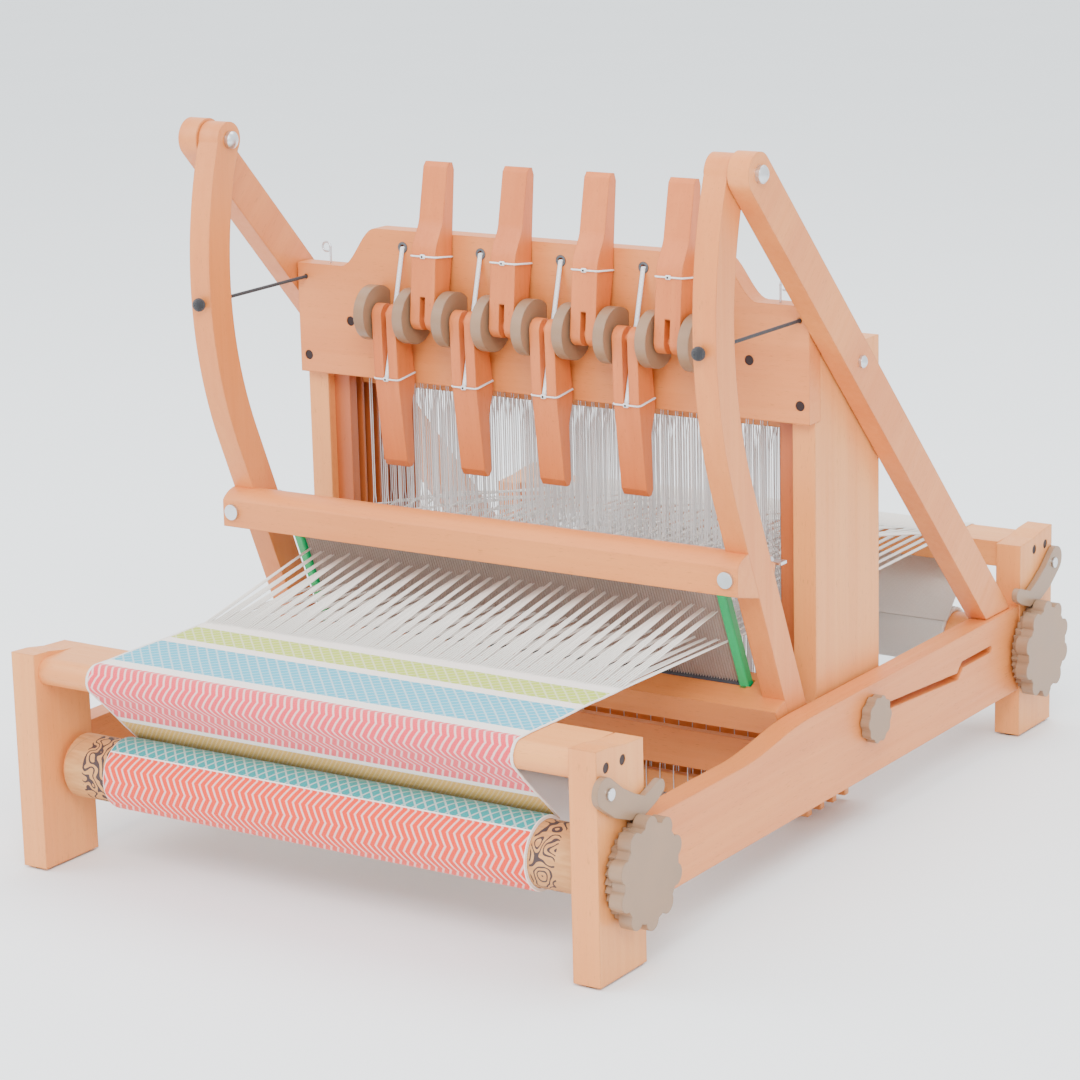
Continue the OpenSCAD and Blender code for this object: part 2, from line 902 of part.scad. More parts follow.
cord_d = 2.4;
module cord_between(p, q, d) {
    v = q - p;
    translate(p)
        rotate([0, acos(v[2] / norm(v)), atan2(v[1], v[0])])
        cylinder(h = norm(v), d = d, $fn = 8);
}

knot_d = 11;
bow_front = bow_c[0] - (bow_r + beater_wide / 2) * cos(asin((shock_z - bow_c[1]) / bow_r));
module shock_cords() {
    color(black)
        place()
        for (right = [false, true])
            side(right) {
                cord_between([shock_x - 3, bow_front - 2, shock_z],
                             [shock_x, board_back + 3, shock_z], 3);
                translate([shock_x - 3, bow_front - knot_d / 2 - 0.4, shock_z])
                    sphere(d = knot_d);
                translate([shock_x, board_back + 6, shock_z]) sphere(d = 8);
            }
}

// Cords from the levers through the front board and the guide board to the shafts. Each
// shaft's pair leaves the guide board a little higher than the pair before it.
strand_d = 1.6;
strand_step = 2;
knot_y = board_back + 4;
function tie_point(i) =
    let (along = tie_s - 2)
    let (out = lever_front + 1.2)
    let (way = is_up(i) ? -1 : 1)
    [rod_y + along * sin(lever_lean) + way * out * cos(lever_lean),
     rod_z + way * along * cos(lever_lean) - out * sin(lever_lean)];
module lift_cord(i) {
    x0 = lever_x(i);
    tie = tie_point(i);
    turn = [x0, castle_y - (is_up(i) ? 2 : 1), tie_z];
    translate([x0, knot_y + 3, tie_z])
        rotate([90, 0, 0])
        cylinder(h = 6, d = 7, $fn = 12);
    cord_between([x0, knot_y - 1, tie_z], turn, cord_d);
    if (is_up(i))
        cord_between(turn + [0, 0.8, 0.6], [x0, tie[0], tie[1]], cord_d);
    for (x = [-hanger_x, hanger_x]) {
        guide = [x, shaft_y(i), guide_board_z + guide_board_t + 1.5 + strand_step * i];
        knot = [x0, knot_y, tie_z];
        cord_between([x, shaft_y(i), bar_high + bar_h + lift(i)], guide + [0, 0, 0.8], strand_d);
        cord_between(guide, knot - 2.6 * unit(knot - guide), strand_d);
    }
}

module lift_cords() {
    color(cord)
        place()
        for (i = [0:shafts - 1])
            lift_cord(i);
}

hook_x = weave_w / 2 + 16;
hook_z = board_shoulder + 14;
hook_r = 4;
wire_d = 1.8;
module hook_stem(grow = 0) {
    translate([hook_x, castle_y + 8, hook_z - 22])
        cylinder(h = 22, d = wire_d + 2 * grow);
}

module wire_hooks() {
    color(steel)
        place()
        for (right = [false, true])
            side(right) {
                hook_stem();
                translate([hook_x, castle_y + 8, hook_z]) {
                    sphere(d = wire_d + 0.5);
                    translate([hook_r, 0, 0])
                        rotate([90, 0, 0])
                        rotate([0, 0, -120])
                        rotate_extrude(angle = 300)
                        translate([hook_r, 0])
                        circle(d = wire_d);
                }
            }
}

// --- Rollers and wheels ---

module ring(x0, x1, y, d_out, d_in) {
    difference() {
        rod_x(x0, x1, y, roller_z, d_out);
        rod_x(x0 - 1, x1 + 1, y, roller_z, d_in);
    }
}

module roller(y) {
    rod_x(-leg_in + 4, leg_in - 4, y, roller_z, roller_d);
    rod_x(-leg_out + 2, leg_in, y, roller_z, journal_d);
    rod_x(leg_in - 5, leg_out + 1 + flange_t + lobe_t - 2, y, roller_z, journal_d);
}

module cloth_roller() {
    color(pale_wood) place() roller(front_roller_y);
}

module warp_roller() {
    color(pale_wood) place() roller(back_roller_y);
}

module paper_tube() {
    color("#c78b4e")
        place()
        ring(-leg_in + 8, leg_in - 8, front_roller_y, tube_d, roller_d + 2 * run_fit);
}

module cloth_roll() {
    color("#ef5a3c")
        place()
        ring(-cloth_half - 1, cloth_half + 1, front_roller_y, cloth_roll_d,
             tube_d + 2 * run_fit);
}

module warp_roll() {
    color(cord)
        place()
        ring(-cloth_half - 1, cloth_half + 1, back_roller_y, warp_roll_d,
             roller_d + 2 * run_fit);
}

// Ratchet flange against the leg and a lobed hand wheel outside it. The back wheel mirrors
// the front one.
module wheel(back) {
    x0 = leg_out + 1;
    y = front_roller_y;
    pitch = 360 / ratchet_teeth;
    lobe_r = PI * wheel_d / wheel_lobes / 2 * 0.62;
    color(plastic)
        place()
        translate([0, back ? frame_depth : 0, 0])
        mirror([0, back ? 1 : 0, 0])
        difference() {
            union() {
                across(x0, x0 + flange_t)
                    translate([y, roller_z])
                    polygon([
                        for (k = [0:ratchet_teeth - 1], tip = [0, 1])
                            let (a = 90 + (k + (tip == 0 ? 0.15 : 0.85)) * pitch)
                            let (r = tip == 0 ? flange_r - 3 : flange_r)
                            r * [cos(a), sin(a)]
                    ]);
                across(x0 + flange_t, x0 + flange_t + lobe_t)
                    translate([y, roller_z]) {
                        circle(wheel_d / 2 - lobe_r * 0.75);
                        for (k = [0:wheel_lobes - 1])
                            rotate((k + 0.5) * 360 / wheel_lobes)
                            translate([wheel_d / 2 - lobe_r, 0])
                            circle(lobe_r);
                    }
            }
            rod_x(x0 - 1, x0 + flange_t + lobe_t - 2, y, roller_z, journal_d + 2 * run_fit);
        }
}

module cloth_wheel() { wheel(false); }
module warp_wheel() { wheel(true); }

// Pawl: a broad hook that hangs from its screw, rests in the ratchet and ends in a tail.
pawl_y = 8;
pawl_z = roller_z + 68;
pawl_line = [[pawl_y - 5, pawl_z + 2], [pawl_y + 12, pawl_z - 10], [pawl_y + 30, pawl_z - 18],
             [pawl_y + 47, pawl_z - 21.6], [pawl_y + 61, pawl_z - 17], [pawl_y + 68, pawl_z - 14]];
pawl_half = [11.5, 11, 9.6, 6.8, 6.6, 6];
module pawl_outline() {
    tip_z = roller_z + flange_r;
    polygon(band(pawl_line, pawl_half));
    polygon([[roller_in - 5, tip_z + 4], [roller_in - 1.2, tip_z - 1.8], [roller_in + 0.6, tip_z + 4]]);
}

module pawl(back) {
    color(plastic)
        place()
        translate([0, back ? frame_depth : 0, 0])
        mirror([0, back ? 1 : 0, 0])
        difference() {
            across(pawl_x, pawl_x + pawl_t) pawl_outline();
            pawl_screw(run_fit);
        }
}

module front_pawl() { pawl(false); }
module back_pawl() { pawl(true); }

// Lobed clamp knob with its bolt, which passes the rail's slot into the castle side.
knob_lobes = 10;
module clamp_knob(right) {
    lobe_r = PI * knob_d / knob_lobes / 2 * 0.8;
    x0 = rail_out + 1;
    color(plastic)
        place()
        side(right) {
            across(x0, x0 + knob_t)
                translate([clamp_y, clamp_z]) {
                    circle(knob_d / 2 - lobe_r * 0.35);
                    for (k = [0:knob_lobes - 1])
                        rotate(k * 360 / knob_lobes)
                        translate([knob_d / 2 - lobe_r, 0])
                        circle(lobe_r);
                }
            rod_x(castle_in + 6, x0 + 1, clamp_y, clamp_z, clamp_d);
        }
}

// --- Cloth and warp ---

// Front beam's nose and the roll that the cloth winds onto.
nose_c = [beam_in + beam_r, beam_top - beam_r];
roll_c = [front_roller_y, roller_z];
cloth_gap = 0.4;
cloth_run = cross_tangent(nose_c, beam_r + cloth_gap, roll_c, cloth_roll_d / 2 + cloth_gap + cloth_t);
module woven_cloth() {
    path = concat(
        [cloth_run[1]],
        arc_points(nose_c, beam_r + cloth_gap, cloth_run[2], -270, 16),
        [[fell_y, beam_top + cloth_gap]]);
    color("#5fc4d8")
        place()
        across(-cloth_half, cloth_half)
        polygon(strip(path, cloth_t));
}

// One warp end: from the fell, through its eye, over the back beam and down to its roll.
back_nose = [frame_depth - beam_in - beam_r, beam_top - beam_r];
warp_gap = 0.4;
function warp_path(i) =
    let (eye = [shaft_y(i), eye_z + lift(i)])
    let (over = beam_r + warp_gap)
    let (down = cross_tangent([-back_nose[0], back_nose[1]], over,
                              [-back_roller_y, roller_z], warp_roll_d / 2 + warp_gap + thread_t))
    concat(
        [[fell_y + 0.5, fell_z], eye, [frame_depth - beam_in - beam_deep + 4, beam_top + warp_gap]],
        [for (p = arc_points([-back_nose[0], back_nose[1]], over, 90, down[2] + 360, 10)) [-p[0], p[1]]],
        [[-down[1][0], down[1][1]]]);

module warp_threads() {
    color(cord)
        place()
        for (i = [0:shafts - 1], m = [0:heddle_rows - 1])
            across(eye_x(i, m) - thread_t / 2, eye_x(i, m) + thread_t / 2)
            polygon(strip(warp_path(i), thread_t));
}

leg(false, false);  // leg_front_left
leg(true, false);  // leg_front_right
leg(false, true);  // leg_back_left
leg(true, true);  // leg_back_right
side_rail(false);  // side_rail_left
side_rail(true);  // side_rail_right
beam(false);  // front_beam
beam(true);  // back_beam
rubber_feet();
wood_screws();
castle_side(false);  // castle_side_left
castle_side(true);  // castle_side_right
shaft_guide(false);  // shaft_guide_left
shaft_guide(true);  // shaft_guide_right
front_board();
castle_battens();
castle_cross_rail();
lever_brackets();
lever_rod();
wire_hooks();
support_arm(false);  // support_arm_left
support_arm(true);  // support_arm_right
arm_bolts();
shock_cords();
lift_cords();
cloth_roller();
paper_tube();
cloth_roll();
cloth_wheel();
warp_roller();
warp_roll();
warp_wheel();
front_pawl();
back_pawl();
woven_cloth();
warp_threads();
beater_arm(false);  // beater_arm_left
beater_arm(true);  // beater_arm_right
beater_top_beam();
beater_bottom_beam();
reed();
beater_bolts();
clamp_knob(false);  // clamp_knob_left
clamp_knob(true);  // clamp_knob_right
for (i = [0:shafts - 1]) {
    lever(i);
    shaft(i);
}
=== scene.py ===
"""Dresses the folding table loom: its wood, metal, plastic, cords, warp, cloth and light."""

import json
import logging
import math
import random
from dataclasses import dataclass, field
from enum import Enum
from typing import Callable, Sequence

import bpy
from mathutils import Matrix, Vector


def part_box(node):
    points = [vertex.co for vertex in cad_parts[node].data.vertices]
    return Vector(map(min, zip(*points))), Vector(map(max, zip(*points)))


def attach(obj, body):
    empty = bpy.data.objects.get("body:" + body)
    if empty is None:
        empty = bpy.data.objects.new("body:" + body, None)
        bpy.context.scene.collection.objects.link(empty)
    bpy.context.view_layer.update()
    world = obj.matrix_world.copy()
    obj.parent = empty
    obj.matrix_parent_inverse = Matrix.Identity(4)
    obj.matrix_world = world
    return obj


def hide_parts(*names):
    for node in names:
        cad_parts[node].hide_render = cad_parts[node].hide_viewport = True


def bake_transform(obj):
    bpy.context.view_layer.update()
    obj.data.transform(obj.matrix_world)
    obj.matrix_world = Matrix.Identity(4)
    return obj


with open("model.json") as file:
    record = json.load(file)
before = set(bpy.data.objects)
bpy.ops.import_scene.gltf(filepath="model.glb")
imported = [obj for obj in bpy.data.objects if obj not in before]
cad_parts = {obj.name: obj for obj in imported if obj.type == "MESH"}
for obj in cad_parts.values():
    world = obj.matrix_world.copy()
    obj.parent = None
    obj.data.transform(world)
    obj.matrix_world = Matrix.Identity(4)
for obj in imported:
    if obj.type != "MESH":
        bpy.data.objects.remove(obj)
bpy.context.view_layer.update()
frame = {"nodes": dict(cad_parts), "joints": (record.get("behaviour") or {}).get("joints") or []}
LOG = logging.getLogger("loom")
Point = Sequence[float]
Colour = tuple[float, float, float, float]

SHAFTS = 8
LEVER_LEAN = math.radians(6.45)
LEVER_PITCH = 0.0388
HOLE_DROP = 0.014
WEAVE_HALF = 0.1975
BEAM_NOSE = 0.011
QUARTER = math.pi / 2


def rgb(red: float, green: float, blue: float) -> Colour:
    """Returns an opaque colour."""
    return (red, green, blue, 1.0)


# --- Shader tools ---


class Channel:
    """A number that changes over a surface, with the usual arithmetic.

    Args:
        graph: The material graph that the number belongs to.
        socket: The output socket that gives it.
    """

    def __init__(self, graph: "Graph", socket: bpy.types.NodeSocket) -> None:
        self.graph = graph
        self.socket = socket

    def apply(self, operation: str, *others: "Channel | float", flip: bool = False) -> "Channel":
        """Runs one Math operation.

        Args:
            operation: Name of the operation.
            others: The values that follow this one.
            flip: Whether this value comes second.

        Returns:
            The result as a channel.
        """
        values = [self, *others]
        if flip:
            values.reverse()
        made = self.graph.node("ShaderNodeMath", {"operation": operation})
        for slot, value in zip(made.inputs, values):
            self.graph.feed(slot, value)
        return Channel(self.graph, made.outputs[0])

    def __add__(self, other: "Channel | float") -> "Channel":
        """Adds."""
        return self.apply("ADD", other)

    __radd__ = __add__

    def __sub__(self, other: "Channel | float") -> "Channel":
        """Takes away."""
        return self.apply("SUBTRACT", other)

    def __rsub__(self, other: "Channel | float") -> "Channel":
        """Is taken away from the other value."""
        return self.apply("SUBTRACT", other, flip=True)

    def __mul__(self, other: "Channel | float") -> "Channel":
        """Multiplies."""
        return self.apply("MULTIPLY", other)

    __rmul__ = __mul__

    def __gt__(self, other: "Channel | float") -> "Channel":
        """Is 1 where this value is the greater."""
        return self.apply("GREATER_THAN", other)

    def between(self, low: float, high: float) -> "Channel":
        """Returns 1 from low to high and 0 elsewhere."""
        return (self > low) * (1.0 - (self > high))

    def wave(self, period: float) -> "Channel":
        """Returns a triangle wave from 0 to 1 of the given period."""
        return (self * (2.0 / period)).apply("PINGPONG", 1.0)

    def ramp(self, low: float, high: float) -> "Channel":
        """Returns 0 below low and 1 above high, and rises evenly between."""
        made = self.graph.node(
            "ShaderNodeMapRange",
            {"clamp": True},
            {"Value": self, "From Min": low, "From Max": high},
        )
        return Channel(self.graph, made.outputs[0])


class Graph:
    """A material's nodes, made and joined by name.

    Args:
        name: Name of the material.
    """

    def __init__(self, name: str) -> None:
        self.material = bpy.data.materials.new(name)
        self.material.use_nodes = True
        self.tree = self.material.node_tree
        self.tree.nodes.clear()

    def feed(self, socket: bpy.types.NodeSocket, value: object) -> None:
        """Links or sets one input socket."""
        if isinstance(value, Channel):
            self.tree.links.new(value.socket, socket)
        elif isinstance(value, bpy.types.NodeSocket):
            self.tree.links.new(value, socket)
        else:
            socket.default_value = value

    def node(
        self,
        kind: str,
        settings: dict[str, object] | None = None,
        sockets: dict[str, object] | None = None,
    ) -> bpy.types.Node:
        """Adds a node.

        Args:
            kind: The node's type.
            settings: Properties that are set before its sockets.
            sockets: Values or links by socket name or identifier.

        Returns:
            The node.
        """
        made = self.tree.nodes.new(kind)
        for name, value in (settings or {}).items():
            setattr(made, name, value)
        for name, value in (sockets or {}).items():
            found = [s for s in made.inputs if s.identifier == name] or [
                s for s in made.inputs if s.name == name and s.enabled
            ]
            self.feed(found[0], value)
        return made

    def mix(self, share: "Channel | float", first: object, second: object) -> bpy.types.NodeSocket:
        """Mixes two colours.

        Args:
            share: How much of the second colour shows.
            first: Colour or colour socket.
            second: Colour or colour socket.

        Returns:
            The mixed colour's socket.
        """
        made = self.node(
            "ShaderNodeMix",
            {"data_type": "RGBA"},
            {"Factor_Float": share, "A_Color": first, "B_Color": second},
        )
        return next(s for s in made.outputs if s.identifier == "Result_Color")

    def place(self, scale: Point = (1, 1, 1), turn: Point = (0, 0, 0)) -> bpy.types.NodeSocket:
        """Returns the point on the object, turned and then stretched."""
        where = self.node("ShaderNodeTexCoord").outputs["Object"]
        turned = self.node("ShaderNodeMapping", None, {"Vector": where, "Rotation": turn})
        return self.node(
            "ShaderNodeMapping", None, {"Vector": turned.outputs[0], "Scale": scale}
        ).outputs[0]

    def axes(self, vector: bpy.types.NodeSocket) -> list[Channel]:
        """Splits a vector into its three channels."""
        made = self.node("ShaderNodeSeparateXYZ", None, {"Vector": vector})
        return [Channel(self, s) for s in made.outputs]

    def surface(self) -> list[Channel]:
        """Returns the distances across and along the piece's own surface, in metres."""
        made = self.node("ShaderNodeUVMap", {"uv_map": "Surface"})
        return self.axes(made.outputs[0])[:2]

    def noise(
        self, vector: bpy.types.NodeSocket, scale: float, detail: float = 3.0, rough: float = 0.5
    ) -> Channel:
        """Returns smooth random values around 0.5."""
        made = self.node(
            "ShaderNodeTexNoise",
            None,
            {"Vector": vector, "Scale": scale, "Detail": detail, "Roughness": rough},
        )
        return Channel(self, made.outputs[0])

    def bump(self, height: Channel, depth: float, edge: float = 0.0) -> bpy.types.NodeSocket:
        """Turns heights into a normal.

        Args:
            height: Height from 0 to 1.
            depth: Depth in metres that a height of 1 stands for.
            edge: Radius in metres that sharp edges look rounded by.

        Returns:
            The normal's socket.
        """
        sockets: dict[str, object] = {"Height": height, "Distance": depth, "Strength": 1.0}
        if edge > 0:
            rounded = self.node("ShaderNodeBevel", {"samples": 4}, {"Radius": edge})
            sockets["Normal"] = rounded.outputs[0]
        return self.node("ShaderNodeBump", None, sockets).outputs[0]

    def finish(self, **sockets: object) -> bpy.types.Material:
        """Adds the surface shader.

        Args:
            sockets: Principled inputs, with _ for a space.

        Returns:
            The finished material.
        """
        named = {name.replace("_", " "): value for name, value in sockets.items()}
        shader = self.node("ShaderNodeBsdfPrincipled", None, named)
        out = self.node("ShaderNodeOutputMaterial")
        self.tree.links.new(shader.outputs[0], out.inputs["Surface"])
        return self.material


class Grain(Enum):
    """The turn that lays a board's grain along the shader's X axis."""

    ACROSS = (0.0, 0.0, 0.0)
    ALONG = (0.0, 0.0, math.pi / 2)
    UPRIGHT = (0.0, math.pi / 2, 0.0)
    STRUT = (math.radians(-43.4), 0.0, math.pi / 2)


@dataclass(frozen=True)
class Wood:
    """Oiled beech with fine pores.

    Attributes:
        name: Name of the finish.
        light: Colour of the pale wood.
        dark: Colour of the darker growth.
        grain: Direction of the grain.
        roughness: Roughness of the surface.
    """

    name: str
    light: Colour
    dark: Colour
    grain: Grain
    roughness: float = 0.42

    def material(self) -> bpy.types.Material:
        """Returns the finish as a material."""
        graph = Graph(f"{self.name}_{self.grain.name.lower()}")
        turn = self.grain.value
        growth = graph.noise(graph.place((1.2, 22, 22), turn), 1.0, 4.0, 0.55).ramp(0.32, 0.7)
        streak = graph.noise(graph.place((5, 190, 190), turn), 1.0, 3.0, 0.6).ramp(0.3, 0.75)
        pores = graph.noise(graph.place((130, 1500, 1500), turn), 1.0, 1.0).ramp(0.66, 0.74)
        blotch = graph.noise(graph.place(), 7.0, 2.0).ramp(0.35, 0.7)
        body = graph.mix(growth * 0.62 + streak * 0.3, self.light, self.dark)
        warm = graph.mix(blotch * 0.22, body, tuple(c * 0.86 for c in self.dark[:3]) + (1,))
        colour = graph.mix(pores * 0.34, warm, tuple(c * 0.45 for c in self.dark[:3]) + (1,))
        height = streak * 0.6 - pores * 0.5
        return graph.finish(
            Base_Color=colour,
            Roughness=self.roughness + streak * 0.1 + pores * 0.1,
            Normal=graph.bump(height, 0.00012, 0.0016),
            Coat_Weight=0.12,
            Coat_Roughness=0.3,
        )


@dataclass(frozen=True)
class Moulded:
    """Moulded plastic, rubber or card with a fine skin.

    Attributes:
        name: Name of the finish.
        base: Its colour.
        roughness: Roughness of the surface.
        skin: Depth of the fine texture, in metres.
        edge: Radius that its edges look rounded by, in metres.
    """

    name: str
    base: Colour
    roughness: float = 0.5
    skin: float = 0.00003
    edge: float = 0.0012

    def material(self) -> bpy.types.Material:
        """Returns the finish as a material."""
        graph = Graph(self.name)
        point = graph.place()
        tone = graph.noise(point, 26.0, 3.0).ramp(0.3, 0.7)
        fine = graph.noise(point, 2200.0, 2.0)
        colour = graph.mix(tone, tuple(c * 0.86 for c in self.base[:3]) + (1,), self.base)
        return graph.finish(
            Base_Color=colour,
            Roughness=self.roughness - 0.06 + tone * 0.12,
            Normal=graph.bump(fine, self.skin, self.edge),
        )


@dataclass(frozen=True)
class Metal:
    """Plated, polished or blackened metal.

    Attributes:
        name: Name of the finish.
        base: Its colour.
        roughness: Roughness of the surface.
        metallic: How metallic the surface is.
    """

    name: str
    base: Colour
    roughness: float = 0.28
    metallic: float = 1.0

    def material(self) -> bpy.types.Material:
        """Returns the finish as a material."""
        graph = Graph(self.name)
        point = graph.place()
        smear = graph.noise(point, 90.0, 3.0).ramp(0.3, 0.75)
        return graph.finish(
            Base_Color=graph.mix(smear * 0.3, self.base, tuple(c * 0.7 for c in self.base[:3]) + (1,)),
            Metallic=self.metallic,
            Roughness=self.roughness + smear * 0.14,
            Normal=graph.bump(graph.noise(point, 900.0), 0.00001, 0.0005),
        )


@dataclass(frozen=True)
class Cord:
    """Twisted or braided cord, with its pattern along the cord's own length.

    Attributes:
        name: Name of the finish.
        base: Its colour.
        lay: Length of one turn of the twist, in metres.
        around: Distance once around the cord, in metres.
        braided: Whether strands cross, as in a braid.
    """

    name: str
    base: Colour
    lay: float
    around: float
    braided: bool = False

    def material(self) -> bpy.types.Material:
        """Returns the finish as a material."""
        graph = Graph(self.name)
        round_it, along = graph.surface()
        turn = round_it * (1 / self.around)
        left = (turn + along * (1 / self.lay)).wave(0.5)
        height = left
        if self.braided:
            right = (turn - along * (1 / self.lay)).wave(0.5)
            height = left.apply("MINIMUM", right)
        fuzz = graph.noise(graph.place(), 1400.0, 2.0)
        # The grooves between strands are painted darker as painted shade; the fuzz noise adds random
        # tone.
        shade = height * 0.55 + fuzz * 0.45
        dark = tuple(c * 0.72 for c in self.base[:3]) + (1,)
        return graph.finish(
            Base_Color=graph.mix(shade, dark, self.base),
            Roughness=0.85,
            Normal=graph.bump(shade, 0.0002),
            Sheen_Weight=0.15,
        )


@dataclass(frozen=True)
class Band:
    """One woven band of the cloth.

    Attributes:
        start: Distance from the cloth's newest pick to the band, in metres.
        weft: Colour of its weft.
        weave: How its weft floats.
    """

    start: float
    weft: Colour
    weave: "Weave"


class Weave(Enum):
    """Ways that a band's weft covers the cream warp."""

    PLAIN = "plain"
    DIAMOND = "diamond"
    ZIGZAG = "zigzag"
    TWILL = "twill"


CREAM = rgb(0.92, 0.86, 0.80)
TURQUOISE = rgb(0.0, 0.42, 0.62)
SEA = rgb(0.0, 0.30, 0.31)
ROSE = rgb(0.86, 0.055, 0.085)
ORANGE = rgb(0.90, 0.045, 0.008)
LIME = rgb(0.44, 0.58, 0.01)
MUSTARD = rgb(0.74, 0.36, 0.0)


@dataclass(frozen=True)
class Handwoven:
    """Cloth in bands, read from the distance along and across the cloth.

    Attributes:
        name: Name of the finish.
        bands: Bands from the newest pick on.
        half: Half of the cloth's width, in metres.
    """

    name: str
    bands: tuple[Band, ...]
    half: float = WEAVE_HALF

    def cover(self, graph: Graph, weave: Weave, across: Channel, along: Channel) -> Channel:
        """Returns how much of a band's weft shows over the warp.

        Args:
            graph: Not used.
            weave: The band's weave.
            across: Distance across the cloth.
            along: Distance along the cloth.

        Returns:
            A channel from 0, warp, to 1, weft.
        """
        if weave is Weave.PLAIN:
            return across.wave(0.0022) * 0.25 + along.wave(0.0017) * 0.25
        if weave is Weave.TWILL:
            return (across + along * 0.8).wave(0.0042).ramp(0.1, 0.5) * 0.2 + 0.76
        if weave is Weave.DIAMOND:
            one = (across + along * 0.9).wave(0.0098)
            two = (across - along * 0.9).wave(0.0098)
            fleck = one.apply("MINIMUM", two).ramp(0.12, 0.26)
            return fleck * 0.42 + 0.58
        sway = along.wave(0.0215) * 0.0065
        line = (across + sway).wave(0.0064)
        return line.ramp(0.18, 0.42) * 0.60 + 0.40

    def material(self) -> bpy.types.Material:
        """Returns the finish as a material."""
        graph = Graph(self.name)
        across, along = graph.surface()
        colour: object = CREAM
        for band in self.bands:
            cover = self.cover(graph, band.weave, across, along)
            dyed = graph.mix(cover, CREAM, band.weft)
            colour = graph.mix(along > band.start, colour, dyed)
        edge = across.apply("ABSOLUTE") > (self.half - 0.0022)
        colour = graph.mix(edge, colour, CREAM)
        ends = across.wave(0.0025)
        picks = along.wave(0.0019)
        height = ends.apply("MAXIMUM", picks) * 0.7 + graph.noise(graph.place(), 900.0) * 0.3
        # The hollows between ends and picks are painted darker: painted shade, multiplied over the
        # band colours.
        hollow_shade = graph.mix(height * 0.5 + 0.42, rgb(0.42, 0.37, 0.35), rgb(1, 1, 1))
        hollow_shaded = graph.node(
            "ShaderNodeMix",
            {"data_type": "RGBA", "blend_type": "MULTIPLY"},
            {"Factor_Float": 0.55, "A_Color": colour, "B_Color": hollow_shade},
        )
        shade = next(s for s in hollow_shaded.outputs if s.identifier == "Result_Color")
        return graph.finish(
            Base_Color=shade,
            Roughness=0.9,
            Normal=graph.bump(height, 0.0003),
            Sheen_Weight=0.2,
        )


@dataclass(frozen=True)
class PrintedPaper:
    """Kraft paper tube with a wound seam and loose swirls printed near its ends.

    Attributes:
        name: Name of the finish.
        centre: The tube's axis as (y, z), in metres.
        printed: Distances from the middle between which it is printed, in metres.
    """

    name: str
    centre: tuple[float, float]
    printed: tuple[float, float] = (0.199, 0.221)

    def material(self) -> bpy.types.Material:
        """Returns the finish as a material."""
        graph = Graph(self.name)
        point = graph.place()
        x, y, z = graph.axes(point)
        fibre = graph.noise(graph.place((60, 300, 300)), 1.0, 3.0).ramp(0.3, 0.7)
        paper = graph.mix(fibre, rgb(0.50, 0.22, 0.07), rgb(0.62, 0.31, 0.11))
        angle = (z - self.centre[1]).apply("ARCTAN2", y - self.centre[0])
        seam = (x + angle * 0.011).wave(0.07).ramp(0.0, 0.02)
        warped = graph.noise(graph.place(), 60.0, 1.0)
        swirl = (warped * 9.0).wave(1.0)
        ink = (swirl > 0.62) * x.apply("ABSOLUTE").between(*self.printed)
        inked = graph.mix(ink, paper, rgb(0.05, 0.03, 0.03))
        return graph.finish(
            Base_Color=graph.mix(seam, rgb(0.35, 0.2, 0.09), inked),
            Roughness=0.72,
            Normal=graph.bump(seam * 0.5 + fibre * 0.5, 0.0001, 0.0006),
        )


# --- Finishes of this loom ---

PALE = (rgb(0.82, 0.34, 0.10), rgb(0.70, 0.23, 0.055))
WARM = (rgb(0.76, 0.26, 0.065), rgb(0.62, 0.17, 0.035))
LEVER = (rgb(0.72, 0.20, 0.045), rgb(0.55, 0.12, 0.022))
RED = (rgb(0.52, 0.14, 0.035), rgb(0.38, 0.085, 0.02))


@dataclass
class FinishRack:
    """Makes each material once and hands it out by name."""

    made: dict[str, bpy.types.Material] = field(default_factory=dict)

    def get(self, finish: object) -> bpy.types.Material:
        """Returns a finish's material, made when it is first asked for."""
        key = repr(finish)
        if key not in self.made:
            self.made[key] = finish.material()
        return self.made[key]

    def wood(self, tones: tuple[Colour, Colour], grain: Grain) -> bpy.types.Material:
        """Returns beech of these tones with its grain this way."""
        name = {PALE: "pale_beech", WARM: "beech", LEVER: "lever_beech", RED: "red_beech"}[tones]
        return self.get(Wood(name, tones[0], tones[1], grain))


RACK = FinishRack()
TAUPE = Moulded("taupe_plastic", rgb(0.30, 0.18, 0.105), 0.34)
GREY_PLASTIC = Moulded("grey_plastic", rgb(0.09, 0.10, 0.11), 0.4)
DARK_GREY = Moulded("dark_grey_bar", rgb(0.045, 0.045, 0.055), 0.45)
GREEN = Moulded("green_end_strip", rgb(0.0, 0.52, 0.16), 0.35)
RUBBER = Moulded("black_rubber", rgb(0.02, 0.02, 0.02), 0.75)
STEEL = Metal("bright_steel", rgb(0.66, 0.67, 0.70), 0.26)
BLACK_STEEL = Metal("black_steel", rgb(0.035, 0.02, 0.02), 0.42, 0.6)
DENTS = Metal("reed_dents", rgb(0.50, 0.41, 0.36), 0.5, 0.3)
WHITE_CORD = Cord("white_cord", rgb(0.93, 0.93, 0.93), 0.006, 0.009, True)
HEDDLE_CORD = Cord("heddle_cord", rgb(0.96, 0.96, 0.96), 0.004, 0.003)
ELASTIC = Cord("elastic_cord", rgb(0.025, 0.025, 0.03), 0.006, 0.0095, True)
YARN = Cord("warp_yarn", rgb(0.94, 0.90, 0.84), 0.004, 0.0035)


# --- Mesh tools ---


def square(u0: float, u1: float, v0: float, v1: float) -> tuple[tuple[float, float], ...]:
    """Returns a face's four places on the surface, in order."""
    return ((u0, v0), (u1, v0), (u1, v1), (u0, v1))


